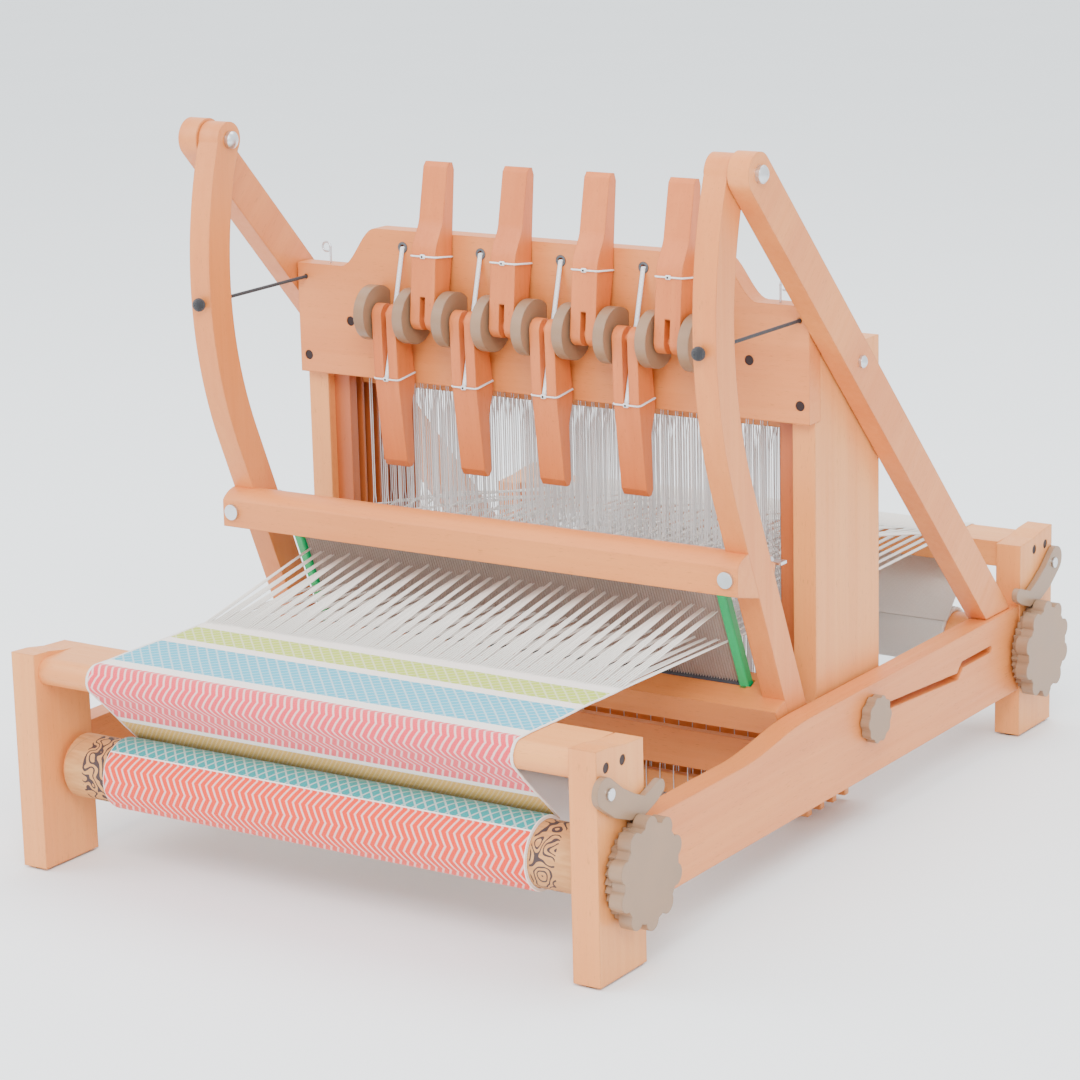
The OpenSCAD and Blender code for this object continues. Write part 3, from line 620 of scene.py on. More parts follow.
class Shape:
    """Collects faces for one piece, with distances over its own surface."""

    def __init__(self) -> None:
        self.points: list[Vector] = []
        self.faces: list[tuple[int, ...]] = []
        self.surface: list[list[tuple[float, float]]] = []

    def face(self, corners: Sequence[int], places: Sequence[tuple[float, float]]) -> None:
        """Adds one face with its corners' places on the surface."""
        self.faces.append(tuple(corners))
        self.surface.append([tuple(place) for place in places])

    def tube(
        self,
        path: Sequence[Point],
        radius: float | tuple[float, float],
        sides: int = 8,
        up: Point = (1.0, 0.0, 0.0),
    ) -> None:
        """Adds a closed tube along a path.

        Args:
            path: Points of its middle line.
            radius: Its radius, or its half width along up and across it.
            sides: Number of its sides.
            up: Direction that the first side faces.
        """
        wide, high = radius if isinstance(radius, tuple) else (radius, radius)
        line = [Vector(p) for p in path]
        start = len(self.points)
        lengths = [0.0]
        for k, here in enumerate(line):
            if k:
                lengths.append(lengths[-1] + (here - line[k - 1]).length)
            way = (line[min(k + 1, len(line) - 1)] - line[max(k - 1, 0)]).normalized()
            first = Vector(up) - way * way.dot(Vector(up))
            first.normalize()
            second = way.cross(first)
            for j in range(sides):
                a = 2 * math.pi * j / sides
                offset = first * (wide * math.cos(a)) + second * (high * math.sin(a))
                self.points.append(here + offset)
        around = math.pi * (wide + high)
        for k in range(len(line) - 1):
            for j in range(sides):
                a, b = start + k * sides + j, start + k * sides + (j + 1) % sides
                u0, u1 = around * j / sides, around * (j + 1) / sides
                self.face(
                    (a, b, b + sides, a + sides),
                    square(u0, u1, lengths[k], lengths[k + 1]),
                )
        ring = range(start, start + sides)
        last = start + (len(line) - 1) * sides
        self.face(tuple(reversed(ring)), [(0, 0)] * sides)
        self.face(tuple(range(last, last + sides)), [(0, lengths[-1])] * sides)

    def block(
        self, low: Point, high: Point, turn: Matrix | None = None, bevel: float = 0.0
    ) -> None:
        """Adds a box whose edges are cut at 45 degrees.

        Args:
            low: Lowest corner.
            high: Highest corner.
            turn: Matrix that places it, or None.
            bevel: Width that each edge is cut by.
        """
        start = len(self.points)
        signs = [(a, b, c) for a in (0, 1) for b in (0, 1) for c in (0, 1)]
        loop = square(0, 1, 0, 1)
        index: dict[tuple[tuple[int, int, int], int], int] = {}
        cut = max(bevel, 1e-6)
        for corner in signs:
            for axis in range(3):
                place = [high[k] if corner[k] else low[k] for k in range(3)]
                for k in range(3):
                    if k != axis:
                        place[k] += -cut if corner[k] else cut
                index[(corner, axis)] = len(self.points)
                self.points.append(Vector(place))
        middle = (Vector(low) + Vector(high)) / 2
        rings: list[list[tuple[tuple[int, int, int], int]]] = []
        for axis in range(3):
            others = [k for k in range(3) if k != axis]
            for side in (0, 1):
                ring = []
                for a, b in loop:
                    corner = [0, 0, 0]
                    corner[axis], corner[others[0]], corner[others[1]] = side, a, b
                    ring.append((tuple(corner), axis))
                rings.append(ring)
            for a, b in loop:
                one, two = [0, 0, 0], [0, 0, 0]
                one[others[0]], one[others[1]] = a, b
                two[others[0]], two[others[1]], two[axis] = a, b, 1
                edge = [(one, others[0]), (two, others[0]), (two, others[1]), (one, others[1])]
                rings.append([(tuple(end), face) for end, face in edge])
        rings.extend([(corner, 0), (corner, 1), (corner, 2)] for corner in signs)
        for ring in rings:
            ids = [index[key] for key in ring]
            here = [self.points[i] for i in ids]
            normal = (here[1] - here[0]).cross(here[2] - here[0])
            centre = sum(here, Vector()) / len(here)
            if normal.dot(centre - middle) < 0:
                ids.reverse()
            self.face(ids, [(0, 0)] * len(ids))
        if turn is not None:
            for k in range(start, len(self.points)):
                self.points[k] = turn @ self.points[k]

    def grid(
        self, rows: Sequence[Sequence[Point]], places: Callable[[int, int], tuple[float, float]]
    ) -> None:
        """Adds an open sheet.

        Args:
            rows: Rows of points, each the same length.
            places: Gives each point's place on the surface from its row and column.
        """
        start, wide = len(self.points), len(rows[0])
        for row in rows:
            self.points.extend(Vector(p) for p in row)
        for r in range(len(rows) - 1):
            for c in range(wide - 1):
                a = start + r * wide + c
                self.face(
                    (a, a + 1, a + wide + 1, a + wide),
                    (places(r, c), places(r, c + 1), places(r + 1, c + 1), places(r + 1, c)),
                )

    def lathe(
        self, profile: Sequence[tuple[float, float]], centre: Point, sides: int, axis: str = "X"
    ) -> None:
        """Adds a closed turned piece.

        Args:
            profile: Closed loop of (place along the axis, radius).
            centre: A point on the axis.
            sides: Number of faces around.
            axis: The axis that it is turned about, X, Y or Z.
        """
        start, count = len(self.points), len(profile)
        for j in range(sides):
            a = 2 * math.pi * j / sides
            for along, radius in profile:
                one, two = radius * math.cos(a), radius * math.sin(a)
                offset = {"X": (along, one, two), "Y": (two, along, one), "Z": (one, two, along)}[axis]
                self.points.append(Vector(centre) + Vector(offset))
        lengths = [0.0]
        for (a0, r0), (a1, r1) in zip(profile, list(profile[1:]) + [profile[0]]):
            lengths.append(lengths[-1] + math.hypot(a1 - a0, r1 - r0))
        for j in range(sides):
            for k in range(count):
                n = (k + 1) % count
                a, b = start + j * count, start + (j + 1) % sides * count
                u0, u1 = j / sides, (j + 1) / sides
                self.face(
                    (a + k, b + k, b + n, a + n),
                    square(u0, u1, lengths[k], lengths[k + 1]),
                )

    def make(self, name: str, finish: object, smooth: bool = True) -> bpy.types.Object:
        """Builds the piece.

        Args:
            name: Name of the piece.
            finish: Its finish or material.
            smooth: Whether its faces are shaded smooth.

        Returns:
            The object, at the origin.
        """
        mesh = bpy.data.meshes.new(name)
        mesh.from_pydata([tuple(p) for p in self.points], [], self.faces)
        layer = mesh.uv_layers.new(name="Surface")
        flat = [value for places in self.surface for place in places for value in place]
        layer.data.foreach_set("uv", flat)
        mesh.polygons.foreach_set("use_smooth", [smooth] * len(self.faces))
        material = finish if isinstance(finish, bpy.types.Material) else RACK.get(finish)
        mesh.materials.append(material)
        mesh.validate()
        made = bpy.data.objects.new(name, mesh)
        bpy.context.scene.collection.objects.link(made)
        return made


def settle(piece: bpy.types.Object, body: str, slot: str, *nodes: str) -> bpy.types.Object:
    """Puts a piece on its body and hides the CAD nodes that it stands for.

    Args:
        piece: The piece.
        body: Body that it moves with.
        slot: Not used.
        nodes: CAD nodes that it stands for.

    Returns:
        The piece.
    """
    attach(piece, body)
    if nodes:
        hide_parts(*nodes)
    LOG.info("%s rides on %s, %d faces", piece.name, body, len(piece.data.polygons))
    return piece


class Repeater:
    """Copies one small piece to many points with a node tree, and keeps the result as a mesh."""

    seed = 7

    def __init__(self) -> None:
        self.tree = self.build()

    def build(self) -> bpy.types.NodeTree:
        """Returns the tree, with its sizes as named inputs."""
        tree = bpy.data.node_groups.new("copies_at_points", "GeometryNodeTree")
        face = tree.interface
        inputs = {
            "Points": "Geometry",
            "Piece": "Object",
            "Turn": "Vector",
            "Jitter": "Vector",
            "Seed": "Int",
            "Finish": "Material",
        }
        for name, kind in inputs.items():
            face.new_socket(name, in_out="INPUT", socket_type=f"NodeSocket{kind}")
        face.new_socket("Result", in_out="OUTPUT", socket_type="NodeSocketGeometry")
        kinds = {
            "enter": "NodeGroupInput",
            "leave": "NodeGroupOutput",
            "piece": "GeometryNodeObjectInfo",
            "random": "FunctionNodeRandomValue",
            "back": "ShaderNodeVectorMath",
            "shift": "GeometryNodeSetPosition",
            "copy": "GeometryNodeInstanceOnPoints",
            "real": "GeometryNodeRealizeInstances",
            "dress": "GeometryNodeSetMaterial",
        }
        nodes = {name: tree.nodes.new(kind) for name, kind in kinds.items()}
        nodes["random"].data_type = "FLOAT_VECTOR"
        nodes["back"].operation = "SCALE"
        nodes["back"].inputs["Scale"].default_value = -1.0
        enter = nodes["enter"].outputs
        vector_low, vector_high = (
            next(s for s in nodes["random"].inputs if s.name == end) for end in ("Min", "Max")
        )
        joins = [
            (enter["Jitter"], nodes["back"].inputs[0]),
            (nodes["back"].outputs[0], vector_low),
            (enter["Jitter"], vector_high),
            (enter["Seed"], nodes["random"].inputs["Seed"]),
            (enter["Points"], nodes["shift"].inputs["Geometry"]),
            (nodes["random"].outputs[0], nodes["shift"].inputs["Offset"]),
            (nodes["shift"].outputs[0], nodes["copy"].inputs["Points"]),
            (enter["Piece"], nodes["piece"].inputs["Object"]),
            (nodes["piece"].outputs["Geometry"], nodes["copy"].inputs["Instance"]),
            (enter["Turn"], nodes["copy"].inputs["Rotation"]),
            (nodes["copy"].outputs[0], nodes["real"].inputs[0]),
            (nodes["real"].outputs[0], nodes["dress"].inputs["Geometry"]),
            (enter["Finish"], nodes["dress"].inputs["Material"]),
            (nodes["dress"].outputs[0], nodes["leave"].inputs[0]),
        ]
        for source, target in joins:
            tree.links.new(source, target)
        return tree

    def copies(
        self,
        name: str,
        piece: Shape,
        points: Sequence[Point],
        finish: object,
        turn: Point = (0.0, 0.0, 0.0),
        jitter: Point = (0.0, 0.0, 0.0),
        smooth: bool = True,
    ) -> bpy.types.Object:
        """Makes one mesh with the piece at every point.

        Args:
            name: Name of the result.
            piece: The small piece, drawn about the origin.
            points: Where its copies go.
            finish: Finish of the result.
            turn: Turn of every copy.
            jitter: Greatest random shift along each axis.
            smooth: Whether the copies are shaded smooth.

        Returns:
            The mesh object.
        """
        pattern = piece.make(name + "_pattern", finish, smooth)
        spots = bpy.data.meshes.new(name + "_spots")
        spots.from_pydata([tuple(p) for p in points], [], [])
        carrier = bpy.data.objects.new(name + "_spots", spots)
        bpy.context.scene.collection.objects.link(carrier)
        modifier = carrier.modifiers.new("copies", "NODES")
        modifier.node_group = self.tree
        values = {
            "Piece": pattern,
            "Turn": tuple(turn),
            "Jitter": tuple(jitter),
            "Seed": self.seed,
            "Finish": RACK.get(finish),
        }
        for item in self.tree.interface.items_tree:
            if item.item_type == "SOCKET" and item.name in values:
                modifier[item.identifier] = values[item.name]
        bpy.context.view_layer.update()
        graph = bpy.context.evaluated_depsgraph_get()
        mesh = bpy.data.meshes.new_from_object(carrier.evaluated_get(graph))
        mesh.name = name
        for gone in (carrier, pattern):
            bpy.data.objects.remove(gone)
        made = bpy.data.objects.new(name, mesh)
        bpy.context.scene.collection.objects.link(made)
        return made


REPEATER = Repeater()


def dress(material: bpy.types.Material, *nodes: str) -> None:
    """Gives CAD nodes a material in every slot."""
    for name in nodes:
        data = frame["nodes"][name].data
        data.materials.clear()
        data.materials.append(material)


def middle(node: str) -> Vector:
    """Returns the centre of a CAD node's box."""
    low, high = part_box(node)
    return (low + high) / 2


# --- The loom ---


@dataclass
class WoodenFrame:
    """Legs, rails, beams, castle, arms and everything that stays fixed to them.

    Attributes:
        grommet: Ring and tube radius of a cord hole's grommet.
        flat: Share of its round section that a grommet keeps in depth.
    """

    grommet: tuple[float, float] = (0.0036, 0.0012)
    flat: float = 0.7

    def build(self) -> None:
        """Dresses the fixed wood, its screws and feet, and adds its grommets."""
        dress(
            RACK.wood(PALE, Grain.UPRIGHT),
            "leg_front_left", "leg_front_right", "leg_back_left", "leg_back_right",
            "castle_side_left", "castle_side_right",
        )
        dress(RACK.wood(PALE, Grain.ACROSS), "front_beam", "back_beam")
        dress(RACK.wood(WARM, Grain.ALONG), "side_rail_left", "side_rail_right")
        dress(RACK.wood(WARM, Grain.ACROSS), "front_board", "castle_cross_rail")
        dress(RACK.wood(WARM, Grain.STRUT), "support_arm_left", "support_arm_right")
        dress(RACK.wood(RED, Grain.UPRIGHT), "shaft_guide_left", "shaft_guide_right")
        dress(RACK.wood(RED, Grain.ACROSS), "castle_battens")
        dress(RACK.get(TAUPE), "lever_brackets")
        dress(RACK.get(STEEL), "lever_rod", "wire_hooks", "arm_bolts")
        dress(RACK.get(RUBBER), "rubber_feet")
        dress(RACK.get(BLACK_STEEL), "wood_screws")
        self.grommets()

    def grommets(self) -> None:
        """Adds the ringed cord holes of the front board."""
        low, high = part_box("front_board")
        ring, thick = self.grommet
        one = Shape()
        loop = [
            (thick * math.sin(a) * self.flat, ring + thick * math.cos(a))
            for a in [2 * math.pi * k / 8 for k in range(8)]
        ]
        one.lathe(loop, (0, 0, 0), 20, "Y")
        holes = [(lever_x(i), low.y - 0.0002, high.z - HOLE_DROP) for i in range(SHAFTS)]
        made = REPEATER.copies("cord_hole_rings", one, holes, GREY_PLASTIC)
        settle(made, "frame", "taupe_plastic")


def lever_x(i: int) -> float:
    """Returns the place of lever i across the loom."""
    return (i - (SHAFTS - 1) / 2) * LEVER_PITCH


def is_down(i: int) -> bool:
    """Says whether lever i hangs down, with its shaft raised."""
    return i % 2 == 0


@dataclass
class Beater:
    """Swinging arms, handrail, lower beam and reed.

    Attributes:
        tilt: Lean of the reed away from upright.
        dent: Width and depth of a dent.
        pitch: Distance between dents.
        bar: Height of the reed's two bars.
        thick: Thickness of its bars.
        end: Width that each end takes of the reed.
    """

    tilt: float = math.radians(22.8)
    dent: tuple[float, float] = (0.0005, 0.003)
    pitch: float = 0.0025
    bar: float = 0.011
    thick: float = 0.008
    end: float = 0.010

    def build(self) -> None:
        """Dresses the beater and builds its reed."""
        dress(RACK.wood(WARM, Grain.UPRIGHT), "beater_arm_left", "beater_arm_right")
        dress(RACK.wood(WARM, Grain.ACROSS), "beater_top_beam", "beater_bottom_beam")
        dress(RACK.get(STEEL), "beater_bolts")
        low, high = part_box("reed")
        sine, cosine = math.sin(self.tilt), math.cos(self.tilt)
        thick = self.thick
        tall = (high.z - low.z - thick * sine) / cosine
        foot = Vector((0.0, (high.y - thick / 2 * cosine), low.z + thick / 2 * sine))
        place = Matrix.Translation(foot) @ Matrix.Rotation(self.tilt, 4, "X")
        half = high.x - self.end
        bars = Shape()
        for base in (0, tall - self.bar):
            bars.block((-half, -thick / 2, base), (half, thick / 2, base + self.bar), place, 0.001)
        settle(bars.make("reed_bars", DARK_GREY, False), "beater", "reed_metal", "reed")
        strips = Shape()
        for side in (-1, 1):
            inner, outer = sorted((side * half, side * (half + self.end * 0.85)))
            strips.block((inner, -0.0045, 0.0), (outer, 0.0045, tall - 0.002), place, 0.0012)
            strips.block((inner, -0.0085, 0.0), (outer, 0.006, 0.010), place, 0.0016)
        settle(strips.make("reed_end_strips", GREEN, False), "beater", "reed_metal")
        blade = Shape()
        blade.block(
            (-self.dent[0] / 2, -self.dent[1] / 2, self.bar - 0.001),
            (self.dent[0] / 2, self.dent[1] / 2, tall - self.bar + 0.001),
            Matrix.Rotation(self.tilt, 4, "X"),
        )
        count = int(2 * half / self.pitch)
        spots = [foot + Vector((-half + (k + 0.5) * self.pitch, 0, 0)) for k in range(count)]
        made = REPEATER.copies("reed_dents", blade, spots, DENTS, smooth=False)
        settle(made, "beater", "reed_metal")


@dataclass
class Shafts:
    """Harness shafts with their bars and string heddles.

    Attributes:
        bar: Height of a bar.
        eye: Height of an eye above the lower bar's underside.
        heddles: Number of heddles on each shaft.
        slack: Gap between a heddle and its bar.
        string_radius: Radius of a heddle's string.
    """

    bar: float = 0.018
    eye: float = 0.165
    heddles: int = 30
    slack: float = 0.0006
    string_radius: float = 0.00042

    def eye_height(self, i: int) -> float:
        """Returns the height of shaft i's eyes as it stands."""
        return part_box(f"shaft_{i + 1}")[0].z + self.eye

    def build(self) -> None:
        """Builds every shaft's two bars and its heddles."""
        for i in range(SHAFTS):
            node = f"shaft_{i + 1}"
            low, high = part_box(node)
            bars = Shape()
            bars.block(low, (high.x, high.y, low.z + self.bar), None, 0.0008)
            bars.block((low.x, low.y, high.z - self.bar), high, None, 0.0008)
            made = bars.make(f"shaft_bars_{i + 1}", RACK.wood(PALE, Grain.ACROSS), False)
            settle(made, node, "pale_beech", node)
            self.string(i, low, high)

    def string(self, i: int, low: Vector, high: Vector) -> None:
        """Hangs a shaft's heddles.

        Args:
            i: Number of the shaft, from 0.
            low: Lowest corner of the shaft.
            high: Highest corner of the shaft.
        """
        y = (low.y + high.y) / 2
        eye, deep = self.eye, (high.y - low.y) / 2 + self.slack
        tall = high.z - low.z
        one = Shape()
        for front in (-1, 1):
            for upper in (False, True):
                bar_far = tall + self.slack if upper else -self.slack
                bar_near = tall - self.bar if upper else self.bar
                way = 1 if upper else -1
                path = [
                    (0, 0, bar_far),
                    (0, front * deep, bar_far),
                    (0, front * deep, bar_near - way * 0.004),
                    (front * 0.0005, front * 0.0009, bar_near - way * 0.02),
                    (front * 0.0005, front * 0.0004, eye + way * 0.009),
                    (front * 0.0013, 0, eye + way * 0.004),
                    (front * 0.0013, 0, eye),
                ]
                one.tube(path, self.string_radius, 4, (0.7, 0.7, 0.1))
        pitch = 2 * WEAVE_HALF / (self.heddles * SHAFTS)
        places = [-WEAVE_HALF + pitch * (m * SHAFTS + i + 0.5) for m in range(self.heddles)]
        spots = [(x, y, low.z) for x in places]
        made = REPEATER.copies(
            f"heddles_{i + 1}", one, spots, HEDDLE_CORD, jitter=(0.0005, 0.0, 0.0), smooth=True
        )
        settle(made, f"shaft_{i + 1}", "cotton_cord")


@dataclass
class Warp:
    """Yarn from the cloth's fell through the heddles and over the back beam.

    Attributes:
        ends: Number of warp ends that each shaft carries in the CAD.
        strands: Number of yarns drawn for each of those ends.
        radius: Radius of a yarn.
        pitch: Distance between the CAD's warp ends.
        fan: Width of an end's yarns at the cloth, in pitches.
        bundle: Width of an end's yarns in the reed, in pitches.
        gather: Width of an end's yarns in the heddles' eyes, in pitches.
        reed: Share of the way from the cloth to the eyes at which the yarns meet the reed.
        lap: How far a yarn lies on the cloth, and on the back beam, from its edge.
        core: Radius of the back roller under its yarn.
    """

    ends: int = 10
    strands: int = 4
    radius: float = 0.00062
    pitch: float = 0.005
    fan: float = 2.0
    bundle: float = 0.4
    gather: float = 0.2
    reed: float = 0.62
    lap: float = 0.006
    core: float = 0.0222

    def build(self, shafts: Shafts) -> None:
        """Builds the warp of every shaft, its run over the back beam and its roll.

        Args:
            shafts: The shafts that the warp passes through.
        """
        rng = random.Random(11)
        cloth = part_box("woven_cloth")[1]
        beam_low, beam_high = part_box("back_beam")
        roll = middle("warp_roll")
        roll_radius = (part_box("warp_roll")[1].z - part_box("warp_roll")[0].z) / 2
        top, selvedge = beam_high.z + self.radius, WEAVE_HALF - 0.0005
        fell_y, beam_y = cloth.y - self.lap, beam_low.y + self.lap
        over = Shape()
        for i in range(SHAFTS):
            y = middle(f"shaft_{i + 1}").y
            eye = shafts.eye_height(i)
            front, back = Shape(), Shape()
            for m in range(self.ends):
                x0 = -WEAVE_HALF + self.pitch * (i + SHAFTS * m)
                for s in range(self.strands):
                    spread = (s - (self.strands - 1) / 2) * self.pitch / self.strands
                    near = x0 + spread * self.bundle
                    fell_x = max(-selvedge, min(selvedge, x0 + spread * self.fan))
                    fell = (fell_x, fell_y + rng.uniform(-0.0006, 0.0006), cloth.z - 0.0006)
                    bunch = rng.uniform(-0.0002, 0.0002)
                    reed_y = fell[1] + self.reed * (y - fell[1])
                    reed_z = fell[2] + self.reed * (eye - fell[2])
                    held = (x0 + spread * self.gather, y, eye)
                    front.tube([fell, (near + bunch, reed_y, reed_z), held], self.radius, 5)
                    back.tube([held, (x0 + spread, beam_y, top)], self.radius, 5)
                    way = self.over_beam(x0 + spread, beam_y, top, beam_high, roll, roll_radius)
                    over.tube(way, self.radius, 5)
            front_piece = front.make(f"warp_front_{i + 1}", YARN)
            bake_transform(front_piece)
            back_piece = back.make(f"warp_back_{i + 1}", YARN)
            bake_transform(back_piece)
        settle(over.make("warp_over_back_beam", YARN), "frame", "cotton_cord", "warp_threads")
        LOG.info("warp has %d blended pieces", 2 * SHAFTS)
        self.wound(roll, roll_radius)

    def over_beam(
        self, x: float, start_y: float, top: float, beam: Vector, roll: Vector, roll_radius: float
    ) -> list[Point]:
        """Returns one yarn's path over the back beam's nose and down to the roll.

        Args:
            x: Place across the loom.
            start_y: Where the yarn first meets the beam.
            top: Height of the yarn on the beam.
            beam: The beam's highest corner.
            roll: Centre of the roll.
            roll_radius: Radius of the roll.

        Returns:
            The path's points.
        """
        nose = Vector((x, beam.y - BEAM_NOSE, beam.z - BEAM_NOSE))
        reach, far = BEAM_NOSE + self.radius, roll_radius + self.radius
        leave = leaving(nose, roll, reach + far, -1)
        points: list[Point] = [(x, start_y, top), (x, nose.y, top)]
        steps = 7
        for k in range(1, steps + 1):
            a = QUARTER + (leave - QUARTER) * k / steps
            points.append((x, nose.y + reach * math.cos(a), nose.z + reach * math.sin(a)))
        points.append((x, roll.y - far * math.cos(leave), roll.z - far * math.sin(leave)))
        return points

    def wound(self, roll: Vector, radius: float) -> None:
        """Builds the yarn wound on the back roller.

        Args:
            roll: Centre of the roll.
            radius: Radius of the roll.
        """
        half = (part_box("warp_roll")[1].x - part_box("warp_roll")[0].x) / 2
        profile = [(-half, self.core)]
        count = int(2 * half / (self.pitch / self.strands))
        margin, groove = 0.0008, self.radius * 1.4
        step = 2 * (half - margin) / count
        for k in range(count):
            x = -half + margin + step * k
            profile += [(x, radius - groove), (x + step / 2, radius)]
        profile += [(half, radius - 0.001), (half, self.core)]
        shape = Shape()
        shape.lathe(profile, (0, roll.y, roll.z), 40)
        settle(shape.make("wound_warp", YARN), "warp_beam", "cotton_cord", "warp_roll")


def leaving(nose: Vector, roll: Vector, reach: float, side: int) -> float:
    """Returns the angle at which a taut web leaves a beam's nose for a roll it meets from behind.

    Args:
        nose: Centre of the nose's round.
        roll: Centre of the roll.
        reach: Both radii together, each out to the web's middle.
        side: 1 if the web turns towards the weaver, -1 if it turns away.

    Returns:
        The angle about the loom's X axis, from the Y axis.
    """
    gap = Vector((0, roll.y - nose.y, roll.z - nose.z))
    return math.atan2(gap.z, gap.y) + side * (math.asin(reach / gap.length) - QUARTER)


@dataclass
class Cloth:
    """The finished cloth, from its fell over the front beam and onto its roll.

    Attributes:
        half: Half of its width.
        thick: Its thickness.
        columns: Number of faces across it.
        steps: Number of faces along its flat run, round the nose and down to the roll.
        layers: Number of layers that show at the roll's ends.
        layer: Thickness of a layer on the roll.
    """

    half: float = WEAVE_HALF
    thick: float = 0.0008
    columns: int = 80
    steps: tuple[int, int, int] = (40, 18, 16)
    layers: int = 3
    layer: float = 0.0009

    def bands(self) -> tuple[Band, ...]:
        """Returns the bands from the fell to the roll."""
        return (
            Band(0.000, CREAM, Weave.PLAIN),
            Band(0.017, LIME, Weave.DIAMOND),
            Band(0.051, CREAM, Weave.PLAIN),
            Band(0.0625, TURQUOISE, Weave.DIAMOND),
            Band(0.1235, CREAM, Weave.PLAIN),
            Band(0.1365, ROSE, Weave.ZIGZAG),
            Band(0.205, CREAM, Weave.PLAIN),
            Band(0.212, MUSTARD, Weave.TWILL),
        )

    def path(self) -> tuple[list[tuple[float, float]], float, Vector]:
        """Returns the web's (y, z) line, the roll's meeting angle and the roll's centre."""
        beam_low, beam_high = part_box("front_beam")
        roll = middle("cloth_roll")
        roll_radius = (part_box("cloth_roll")[1].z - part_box("cloth_roll")[0].z) / 2
        nose = Vector((0, beam_low.y + BEAM_NOSE, beam_high.z - BEAM_NOSE))
        rest = self.thick / 2
        reach, far = BEAM_NOSE + rest, roll_radius + 0.0006
        leave = leaving(nose, roll, reach + far, 1)
        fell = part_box("woven_cloth")[1].y
        flat, arc, drop = self.steps
        line = [(fell + (nose.y - fell) * k / flat, beam_high.z + rest) for k in range(flat + 1)]
        for k in range(1, arc + 1):
            a = QUARTER + (leave + 2 * math.pi - QUARTER) * k / arc
            line.append((nose.y + reach * math.cos(a), nose.z + reach * math.sin(a)))
        start = Vector((0, line[-1][0], line[-1][1]))
        end = Vector((0, roll.y - far * math.cos(leave), roll.z - far * math.sin(leave)))
        for k in range(1, drop + 1):
            p = start.lerp(end, k / drop)
            line.append((p.y, p.z))
        return line, leave + math.pi, roll

    def build(self) -> None:
        """Builds the web and the cloth on the roll."""
        line, meet, roll = self.path()
        columns = self.columns
        rng = random.Random(5)
        lengths = [0.0]
        for one, two in zip(line, line[1:]):
            lengths.append(lengths[-1] + math.hypot(two[0] - one[0], two[1] - one[1]))
        rows = []
        for r, (y, z) in enumerate(line):
            draw = 0.0005 * math.sin(lengths[r] * 90) + rng.uniform(-0.0002, 0.0002)
            wide = self.half + draw
            rows.append([((2 * c / columns - 1) * wide, y, z) for c in range(columns + 1)])
        shape = Shape()
        shape.grid(rows, lambda r, c: ((2 * c / columns - 1) * self.half, lengths[r]))
        web = shape.make("cloth_web", Handwoven("banded_cloth", self.bands(), self.half))
        self.face_out(web, Vector((0, 0, 1)))
        solid = web.modifiers.new("thickness", "SOLIDIFY")
        solid.thickness, solid.offset = self.thick, 1.0
        settle(web, "frame", "handwoven_cloth", "woven_cloth")
        2 * self.half
        self.rolled(roll, meet)

    def face_out(self, piece: bpy.types.Object, way: Vector) -> None:
        """Turns an open sheet's faces over if its first face looks away from a direction."""
        if piece.data.polygons[0].normal.dot(way) < 0:
            piece.data.flip_normals()

    def rolled(self, roll: Vector, meet: float) -> None:
        """Builds the layers of cloth on the roll.

        Args:
            roll: Centre of the roll.
            meet: Angle at which the web meets it.
        """
        low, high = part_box("cloth_roll")
        half, radius = (high.x - low.x) / 2 - 0.001, (high.z - low.z) / 2
        sides, columns = 96, 12
        inner = radius - self.layers * self.layer
        stagger, shoulder, lip, edge = 0.0007, 0.0004, 0.0012, 0.0003
        left = [(-half, inner)]
        for k in range(self.layers):
            left.append((-half + stagger * (k % 2), inner + k * self.layer + edge))
        left += [(-half + shoulder, radius - edge), (-half + lip, radius)]
        flat = [(-half + lip + 2 * (half - lip) * k / columns, radius) for k in range(1, columns)]
        profile = left + flat + [(-x, r) for x, r in reversed(left)]
        shape = Shape()
        count = len(profile)
        for j in range(sides):
            a = 2 * math.pi * j / sides
            for x, r in profile:
                shape.points.append(Vector((x, roll.y + r * math.cos(a), roll.z + r * math.sin(a))))
        for j in range(sides):
            for k in range(count):
                n, b = (k + 1) % count, (j + 1) % sides
                away = [(2 * math.pi * (j + t) / sides - meet) % (2 * math.pi) for t in (0, 1)]
                if away[1] < away[0]:
                    away[1] += 2 * math.pi
                v0, v1 = away[0] * radius, away[1] * radius
                x0, x1 = profile[k][0], profile[n][0]
                shape.face(
                    (j * count + k, b * count + k, b * count + n, j * count + n),
                    ((x0, v0), (x0, v1), (x1, v1), (x1, v0)),
                )
        bands = (
            Band(0.0, SEA, Weave.DIAMOND),
            Band(0.0402, CREAM, Weave.PLAIN),
            Band(0.0415, ORANGE, Weave.ZIGZAG),
            Band(0.142, MUSTARD, Weave.TWILL),
        )
        made = shape.make("cloth_layers", Handwoven("rolled_cloth", bands, self.half + 0.0012))
        settle(made, "cloth_beam", "handwoven_cloth", "cloth_roll")


@dataclass
class Rollers:
    """The two rollers, the paper tube, the hand wheels, pawls and clamp knobs."""

    def build(self) -> None:
        """Dresses the turning pieces."""
        dress(RACK.wood(PALE, Grain.ACROSS), "cloth_roller", "warp_roller")
        axis = middle("paper_tube")
        dress(RACK.get(PrintedPaper("kraft_paper", (axis.y, axis.z))), "paper_tube")
        dress(
            RACK.get(TAUPE),
            "cloth_wheel", "warp_wheel", "front_pawl", "back_pawl",
            "clamp_knob_left", "clamp_knob_right",
        )


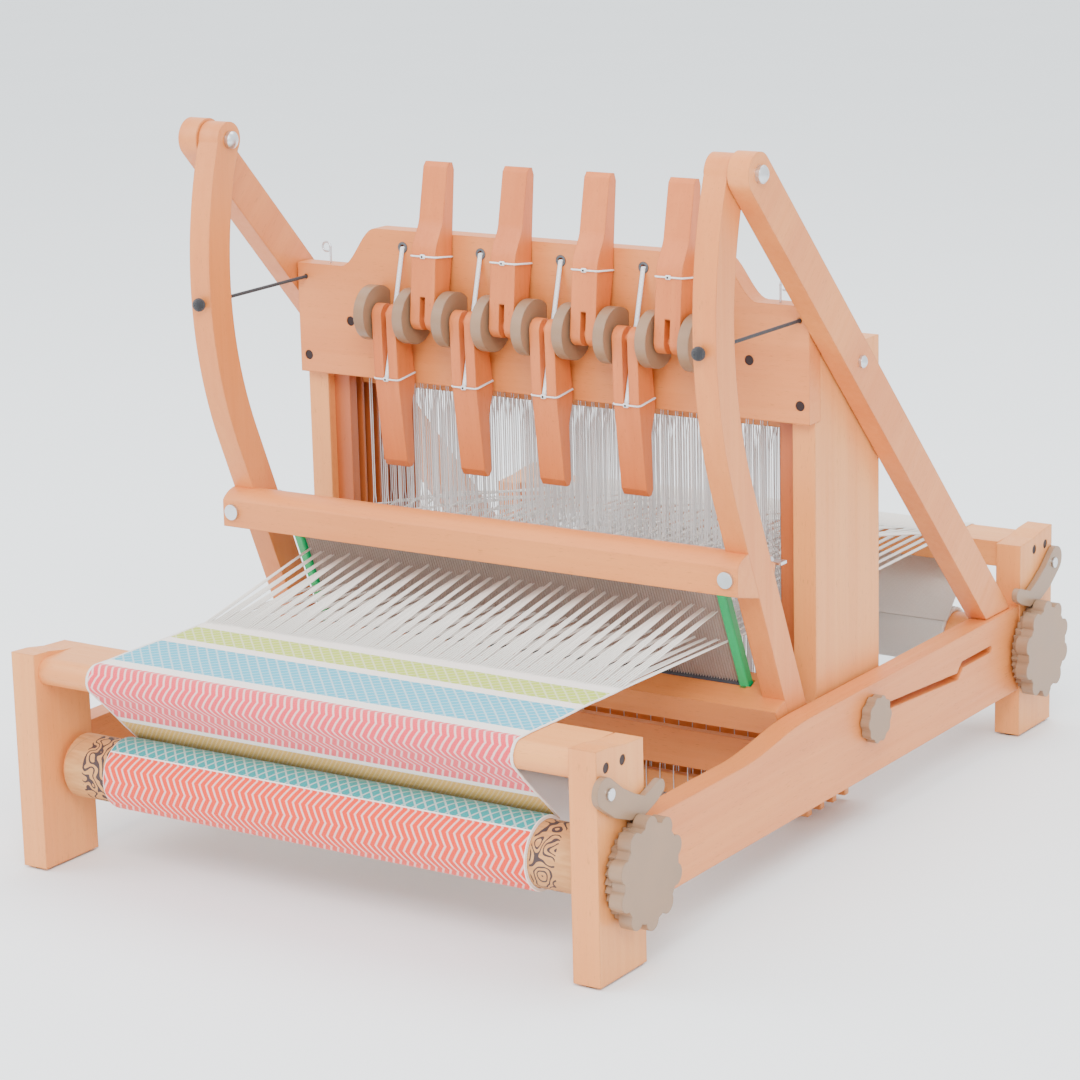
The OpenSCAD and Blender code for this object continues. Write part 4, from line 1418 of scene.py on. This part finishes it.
@dataclass
class Levers:
    """Hand levers with the white cords that tie them to the shafts.

    Attributes:
        tie: Distance from a lever's pivot to its cord.
        face: Distance from a lever's middle line to its tied face.
        back: Distance from its middle line to the other face.
        half: Half of a lever's width.
        cord: Half width and half thickness of the flat cord.
        corner: Width that a wrap cuts off each of the lever's corners.
        rise: Height of a wrap above the cord's end.
        strand: Radius of a strand that lifts a shaft, and its place across the loom.
    """

    tie: float = 0.050
    face: float = 0.0138
    back: float = 0.0106
    half: float = 0.01175
    cord: tuple[float, float] = (0.0022, 0.0010)
    corner: float = 0.0016
    rise: float = 0.0012
    strand: tuple[float, float] = (0.0008, 0.090)

    def point(self, i: int, along: float, toward: float) -> Vector:
        """Returns a point of lever i as it stands.

        Args:
            i: Number of the lever, from 0.
            along: Distance from its pivot towards its tip.
            toward: Distance to the side that its cord is tied on.

        Returns:
            The point, on the lever's middle line across the loom.
        """
        pivot = next(j for j in frame["joints"] if j["name"] == f"lever_{i + 1}_swing")["pos_m"]
        sine, cosine = math.sin(LEVER_LEAN), math.cos(LEVER_LEAN)
        if is_down(i):
            y = along * sine - toward * cosine
            z = -along * cosine - toward * sine
        else:
            y = along * sine + toward * cosine
            z = along * cosine - toward * sine
        return Vector((pivot[0], pivot[1] + y, pivot[2] + z))

    def build(self) -> None:
        """Dresses the levers and adds their cords."""
        dress(RACK.wood(LEVER, Grain.UPRIGHT), *[f"lever_{i + 1}" for i in range(SHAFTS)])
        low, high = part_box("front_board")
        hole_z = high.z - HOLE_DROP
        knots = Shape()
        for i in range(SHAFTS):
            x = lever_x(i)
            self.wrap(i)
            hole = Vector((x, low.y - 0.0006, hole_z))
            inside = Vector((x, high.y + 0.0045, hole_z))
            knots.tube([inside, hole], self.cord, 8)
            self.front_cord(i, hole)
            self.hangers(i, inside, knots)
        settle(knots.make("board_cords", WHITE_CORD), "frame", "cotton_cord", "lift_cords")

    def wrap(self, i: int) -> None:
        """Ties the cord round lever i."""
        height = self.tie + self.rise
        path = []
        for side, toward in ((1, 1), (1, -1), (-1, -1), (-1, 1)):
            reach = self.face if toward > 0 else self.back
            cuts = [(self.corner, 0.0), (0.0, self.corner)]
            if side != toward:
                cuts.reverse()
            for dx, dt in cuts:
                point = self.point(i, height, toward * (reach + 0.0005 - dt))
                path.append(point + Vector((side * (self.half + 0.0006 - dx), 0, 0)))
        path.append(path[0].lerp(path[1], 0.02))
        shape = Shape()
        shape.tube(path, (0.00075, 0.00125), 6, (0, 0.3, 1))
        seat = self.face + 0.0009 if is_down(i) else -(self.back + 0.0009)
        knot = self.point(i, height, seat)
        knot_half = Vector((0.0024, 0.0011, 0.0018))
        shape.block(knot - knot_half, knot + knot_half, None, 0.0007)
        settle(shape.make(f"lever_wrap_{i + 1}", WHITE_CORD), f"lever_{i + 1}", "cotton_cord")
        # A black disc at the knot is painted shade: it stands for the dark inside of the cord's slot.
        eye = Shape()
        low, high = knot.y - 0.0014, knot.y + 0.0014
        outer, inner = 0.0009, 0.00002
        profile = [(low, inner), (low, outer), (high, outer), (high, inner)]
        eye.lathe(profile, (knot.x, 0, knot.z), 12, "Y")
        settle(eye.make(f"cord_slot_{i + 1}", RUBBER), f"lever_{i + 1}", "rubber")

    def front_cord(self, i: int, hole: Vector) -> None:
        """Runs the cord from the board's hole to lever i's tie.

        Args:
            i: Number of the lever, from 0.
            hole: Point in front of the board's hole.
        """
        tie = self.point(i, self.tie, self.face - 0.0004)
        steps = 24
        shape = Shape()
        path = [hole.lerp(tie, k / steps) for k in range(steps + 1)]
        shape.tube([tuple(p) for p in path], self.cord, 6)
        piece = shape.make(f"lever_cord_{i + 1}", WHITE_CORD)
        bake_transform(piece)

    def hangers(self, i: int, knot: Vector, shape: Shape) -> None:
        """Adds the two strands that lift shaft i.

        Args:
            i: Number of the shaft, from 0.
            knot: Knot behind the board.
            shape: Fixed cords that the upper strands join.
        """
        low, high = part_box(f"shaft_{i + 1}")
        guide_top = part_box("castle_battens")[1].z
        y = (low.y + high.y) / 2
        radius, across = self.strand
        for side in (-1, 1):
            top = Vector((side * across, y, guide_top - 0.0012 + 0.002 * i))
            shape.tube([knot, top], radius, 6)
            strand = Shape()
            steps = 8
            foot = Vector((side * across, y, high.z - 0.002))
            strand.tube([tuple(foot.lerp(top, k / steps)) for k in range(steps + 1)], radius, 6)
            name = f"lift_strand_{i + 1}_{'left' if side < 0 else 'right'}"
            piece = strand.make(name, WHITE_CORD)
            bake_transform(piece)


@dataclass
class ShockCords:
    """Elastic cords that pull the beater back.

    Attributes:
        radius: Radius of a cord.
        board_x: Place of its hole in the front board, from the middle.
        arm_x: Place of its hole in the beater's arm, from the middle.
        knot: Radius of the knot in front of the arm.
        stop: Radius of the knot behind the board.
    """

    radius: float = 0.0015
    board_x: float = 0.2370
    arm_x: float = 0.2340
    knot: float = 0.0056
    stop: float = 0.004

    def build(self) -> None:
        """Builds both cords with their knots."""
        low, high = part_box("shock_cords")
        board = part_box("front_board")
        z = (low.z + high.z) / 2
        for side in (-1, 1):
            x_far, x_near = side * self.board_x, side * self.arm_x
            near = Vector((x_near, low.y + 0.008, z))
            far = Vector((x_far, board[1].y + 0.004, z))
            shape = Shape()
            steps = 30
            run = [tuple(far.lerp(near, k / steps)) for k in range(steps + 1)]
            shape.tube(run, self.radius, 10, (0, 0, 1))
            label = "left" if side < 0 else "right"
            cord = shape.make(f"shock_cord_{label}", ELASTIC)
            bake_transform(cord)
            if side < 0:
                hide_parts("shock_cords")
            knot = Shape()
            knot.lathe(self.ball(self.knot), (x_near, low.y + self.knot, z), 16, "Y")
            settle(knot.make(f"shock_knot_{label}", ELASTIC), "beater", "elastic_cord")
            stop = Shape()
            stop.lathe(self.ball(self.stop), (x_far, board[1].y + 0.005, z), 16, "Y")
            settle(stop.make(f"shock_stop_{label}", ELASTIC), "frame", "elastic_cord")

    def ball(self, radius: float) -> list[tuple[float, float]]:
        """Returns the profile of a slightly flattened knot."""
        steps = 10
        profile = []
        for k in range(steps + 1):
            a = math.pi * k / steps
            profile.append((-0.85 * radius * math.cos(a), max(radius * math.sin(a), 0.00005)))
        return profile


@dataclass(frozen=True)
class Lamp:
    """A soft square lamp that faces the loom.

    Attributes:
        name: Its name.
        place: Where it stands.
        size: Width of its square.
        power: Its power in watts.
    """

    name: str
    place: tuple[float, float, float]
    size: float
    power: float


@dataclass
class Studio:
    """Floor, light and camera.

    Attributes:
        lamps: The soft lamps.
        sky: Strength of the even light from all round.
        floor: Half of the floor's width.
        lens: Focal length in millimetres on a 36 mm sensor.
        place: Camera's place.
        azimuth: Camera's direction around the loom.
        elevation: Camera's height angle.
        roll: Camera's roll.
    """

    lamps: tuple[Lamp, ...] = (
        Lamp("key", (1.6, -2.6, 2.6), 1.6, 120),
        Lamp("fill", (-2.8, -1.6, 1.9), 2.2, 55),
        Lamp("top", (0.2, 0.9, 3.2), 2.0, 60),
    )
    sky: float = 1.9
    floor: float = 14.0
    lens: float = 114.8
    place: tuple[float, float, float] = (1.50473, -2.31028, 0.90828)
    azimuth: float = math.radians(33.41)
    elevation: float = math.radians(14.09)
    roll: float = math.radians(-1.42)

    def build(self) -> None:
        """Builds the floor, the world, the lights and the camera."""
        graph = Graph("studio_floor")
        tone = graph.noise(graph.place(), 3.0)
        colour = graph.mix(tone, rgb(0.86, 0.90, 0.92), rgb(0.90, 0.93, 0.95))
        shape = Shape()
        ends = (-self.floor, self.floor)
        shape.grid([[(x, y, 0) for x in ends] for y in ends], lambda r, c: (c, r))
        piece = shape.make("floor", graph.finish(Base_Color=colour, Roughness=0.9), False)
        world = bpy.data.worlds.new("soft_room")
        world.use_nodes = True
        world.node_tree.nodes["Background"].inputs[0].default_value = (0.95, 0.98, 1.0, 1)
        world.node_tree.nodes["Background"].inputs[1].default_value = self.sky
        bpy.context.scene.world = world
        for lamp in self.lamps:
            self.light(lamp)
        self.camera()

    def light(self, lamp: Lamp) -> None:
        """Adds one lamp, turned towards the loom."""
        data = bpy.data.lights.new(lamp.name, "AREA")
        data.energy, data.size = lamp.power, lamp.size
        made = bpy.data.objects.new(lamp.name, data)
        way = Vector((0, 0, 0.2)) - Vector(lamp.place)
        turn = way.to_track_quat("-Z", "Y").to_matrix().to_4x4()
        made.matrix_world = Matrix.Translation(lamp.place) @ turn
        bpy.context.scene.collection.objects.link(made)

    def camera(self) -> None:
        """Adds the camera."""
        data = bpy.data.cameras.new("camera")
        data.lens, data.sensor_width, data.clip_end = self.lens, 36.0, 50.0
        az, el = self.azimuth, self.elevation
        back = Vector((math.sin(az) * math.cos(el), -math.cos(az) * math.cos(el), math.sin(el)))
        right = Vector((math.cos(az), math.sin(az), 0))
        up = back.cross(right)
        c, s = math.cos(self.roll), math.sin(self.roll)
        axes = (c * right + s * up, -s * right + c * up, back)
        turn = Matrix([[axis[k] for axis in axes] for k in range(3)]).to_4x4()
        camera = bpy.data.objects.new("camera", data)
        camera.matrix_world = Matrix.Translation(self.place) @ turn
        bpy.context.scene.collection.objects.link(camera)
        bpy.context.scene.camera = camera


def main() -> None:
    """Builds the loom's looks in order."""
    logging.basicConfig(level=logging.INFO, format="%(name)s: %(message)s")
    shafts = Shafts()
    parts = (Studio(), WoodenFrame(), Beater(), Rollers(), Levers(), ShockCords(), Cloth(), shafts)
    for part in parts:
        part.build()
        LOG.info("built %s", type(part).__name__)
    Warp().build(shafts)


if __name__ == "__main__":
    main()
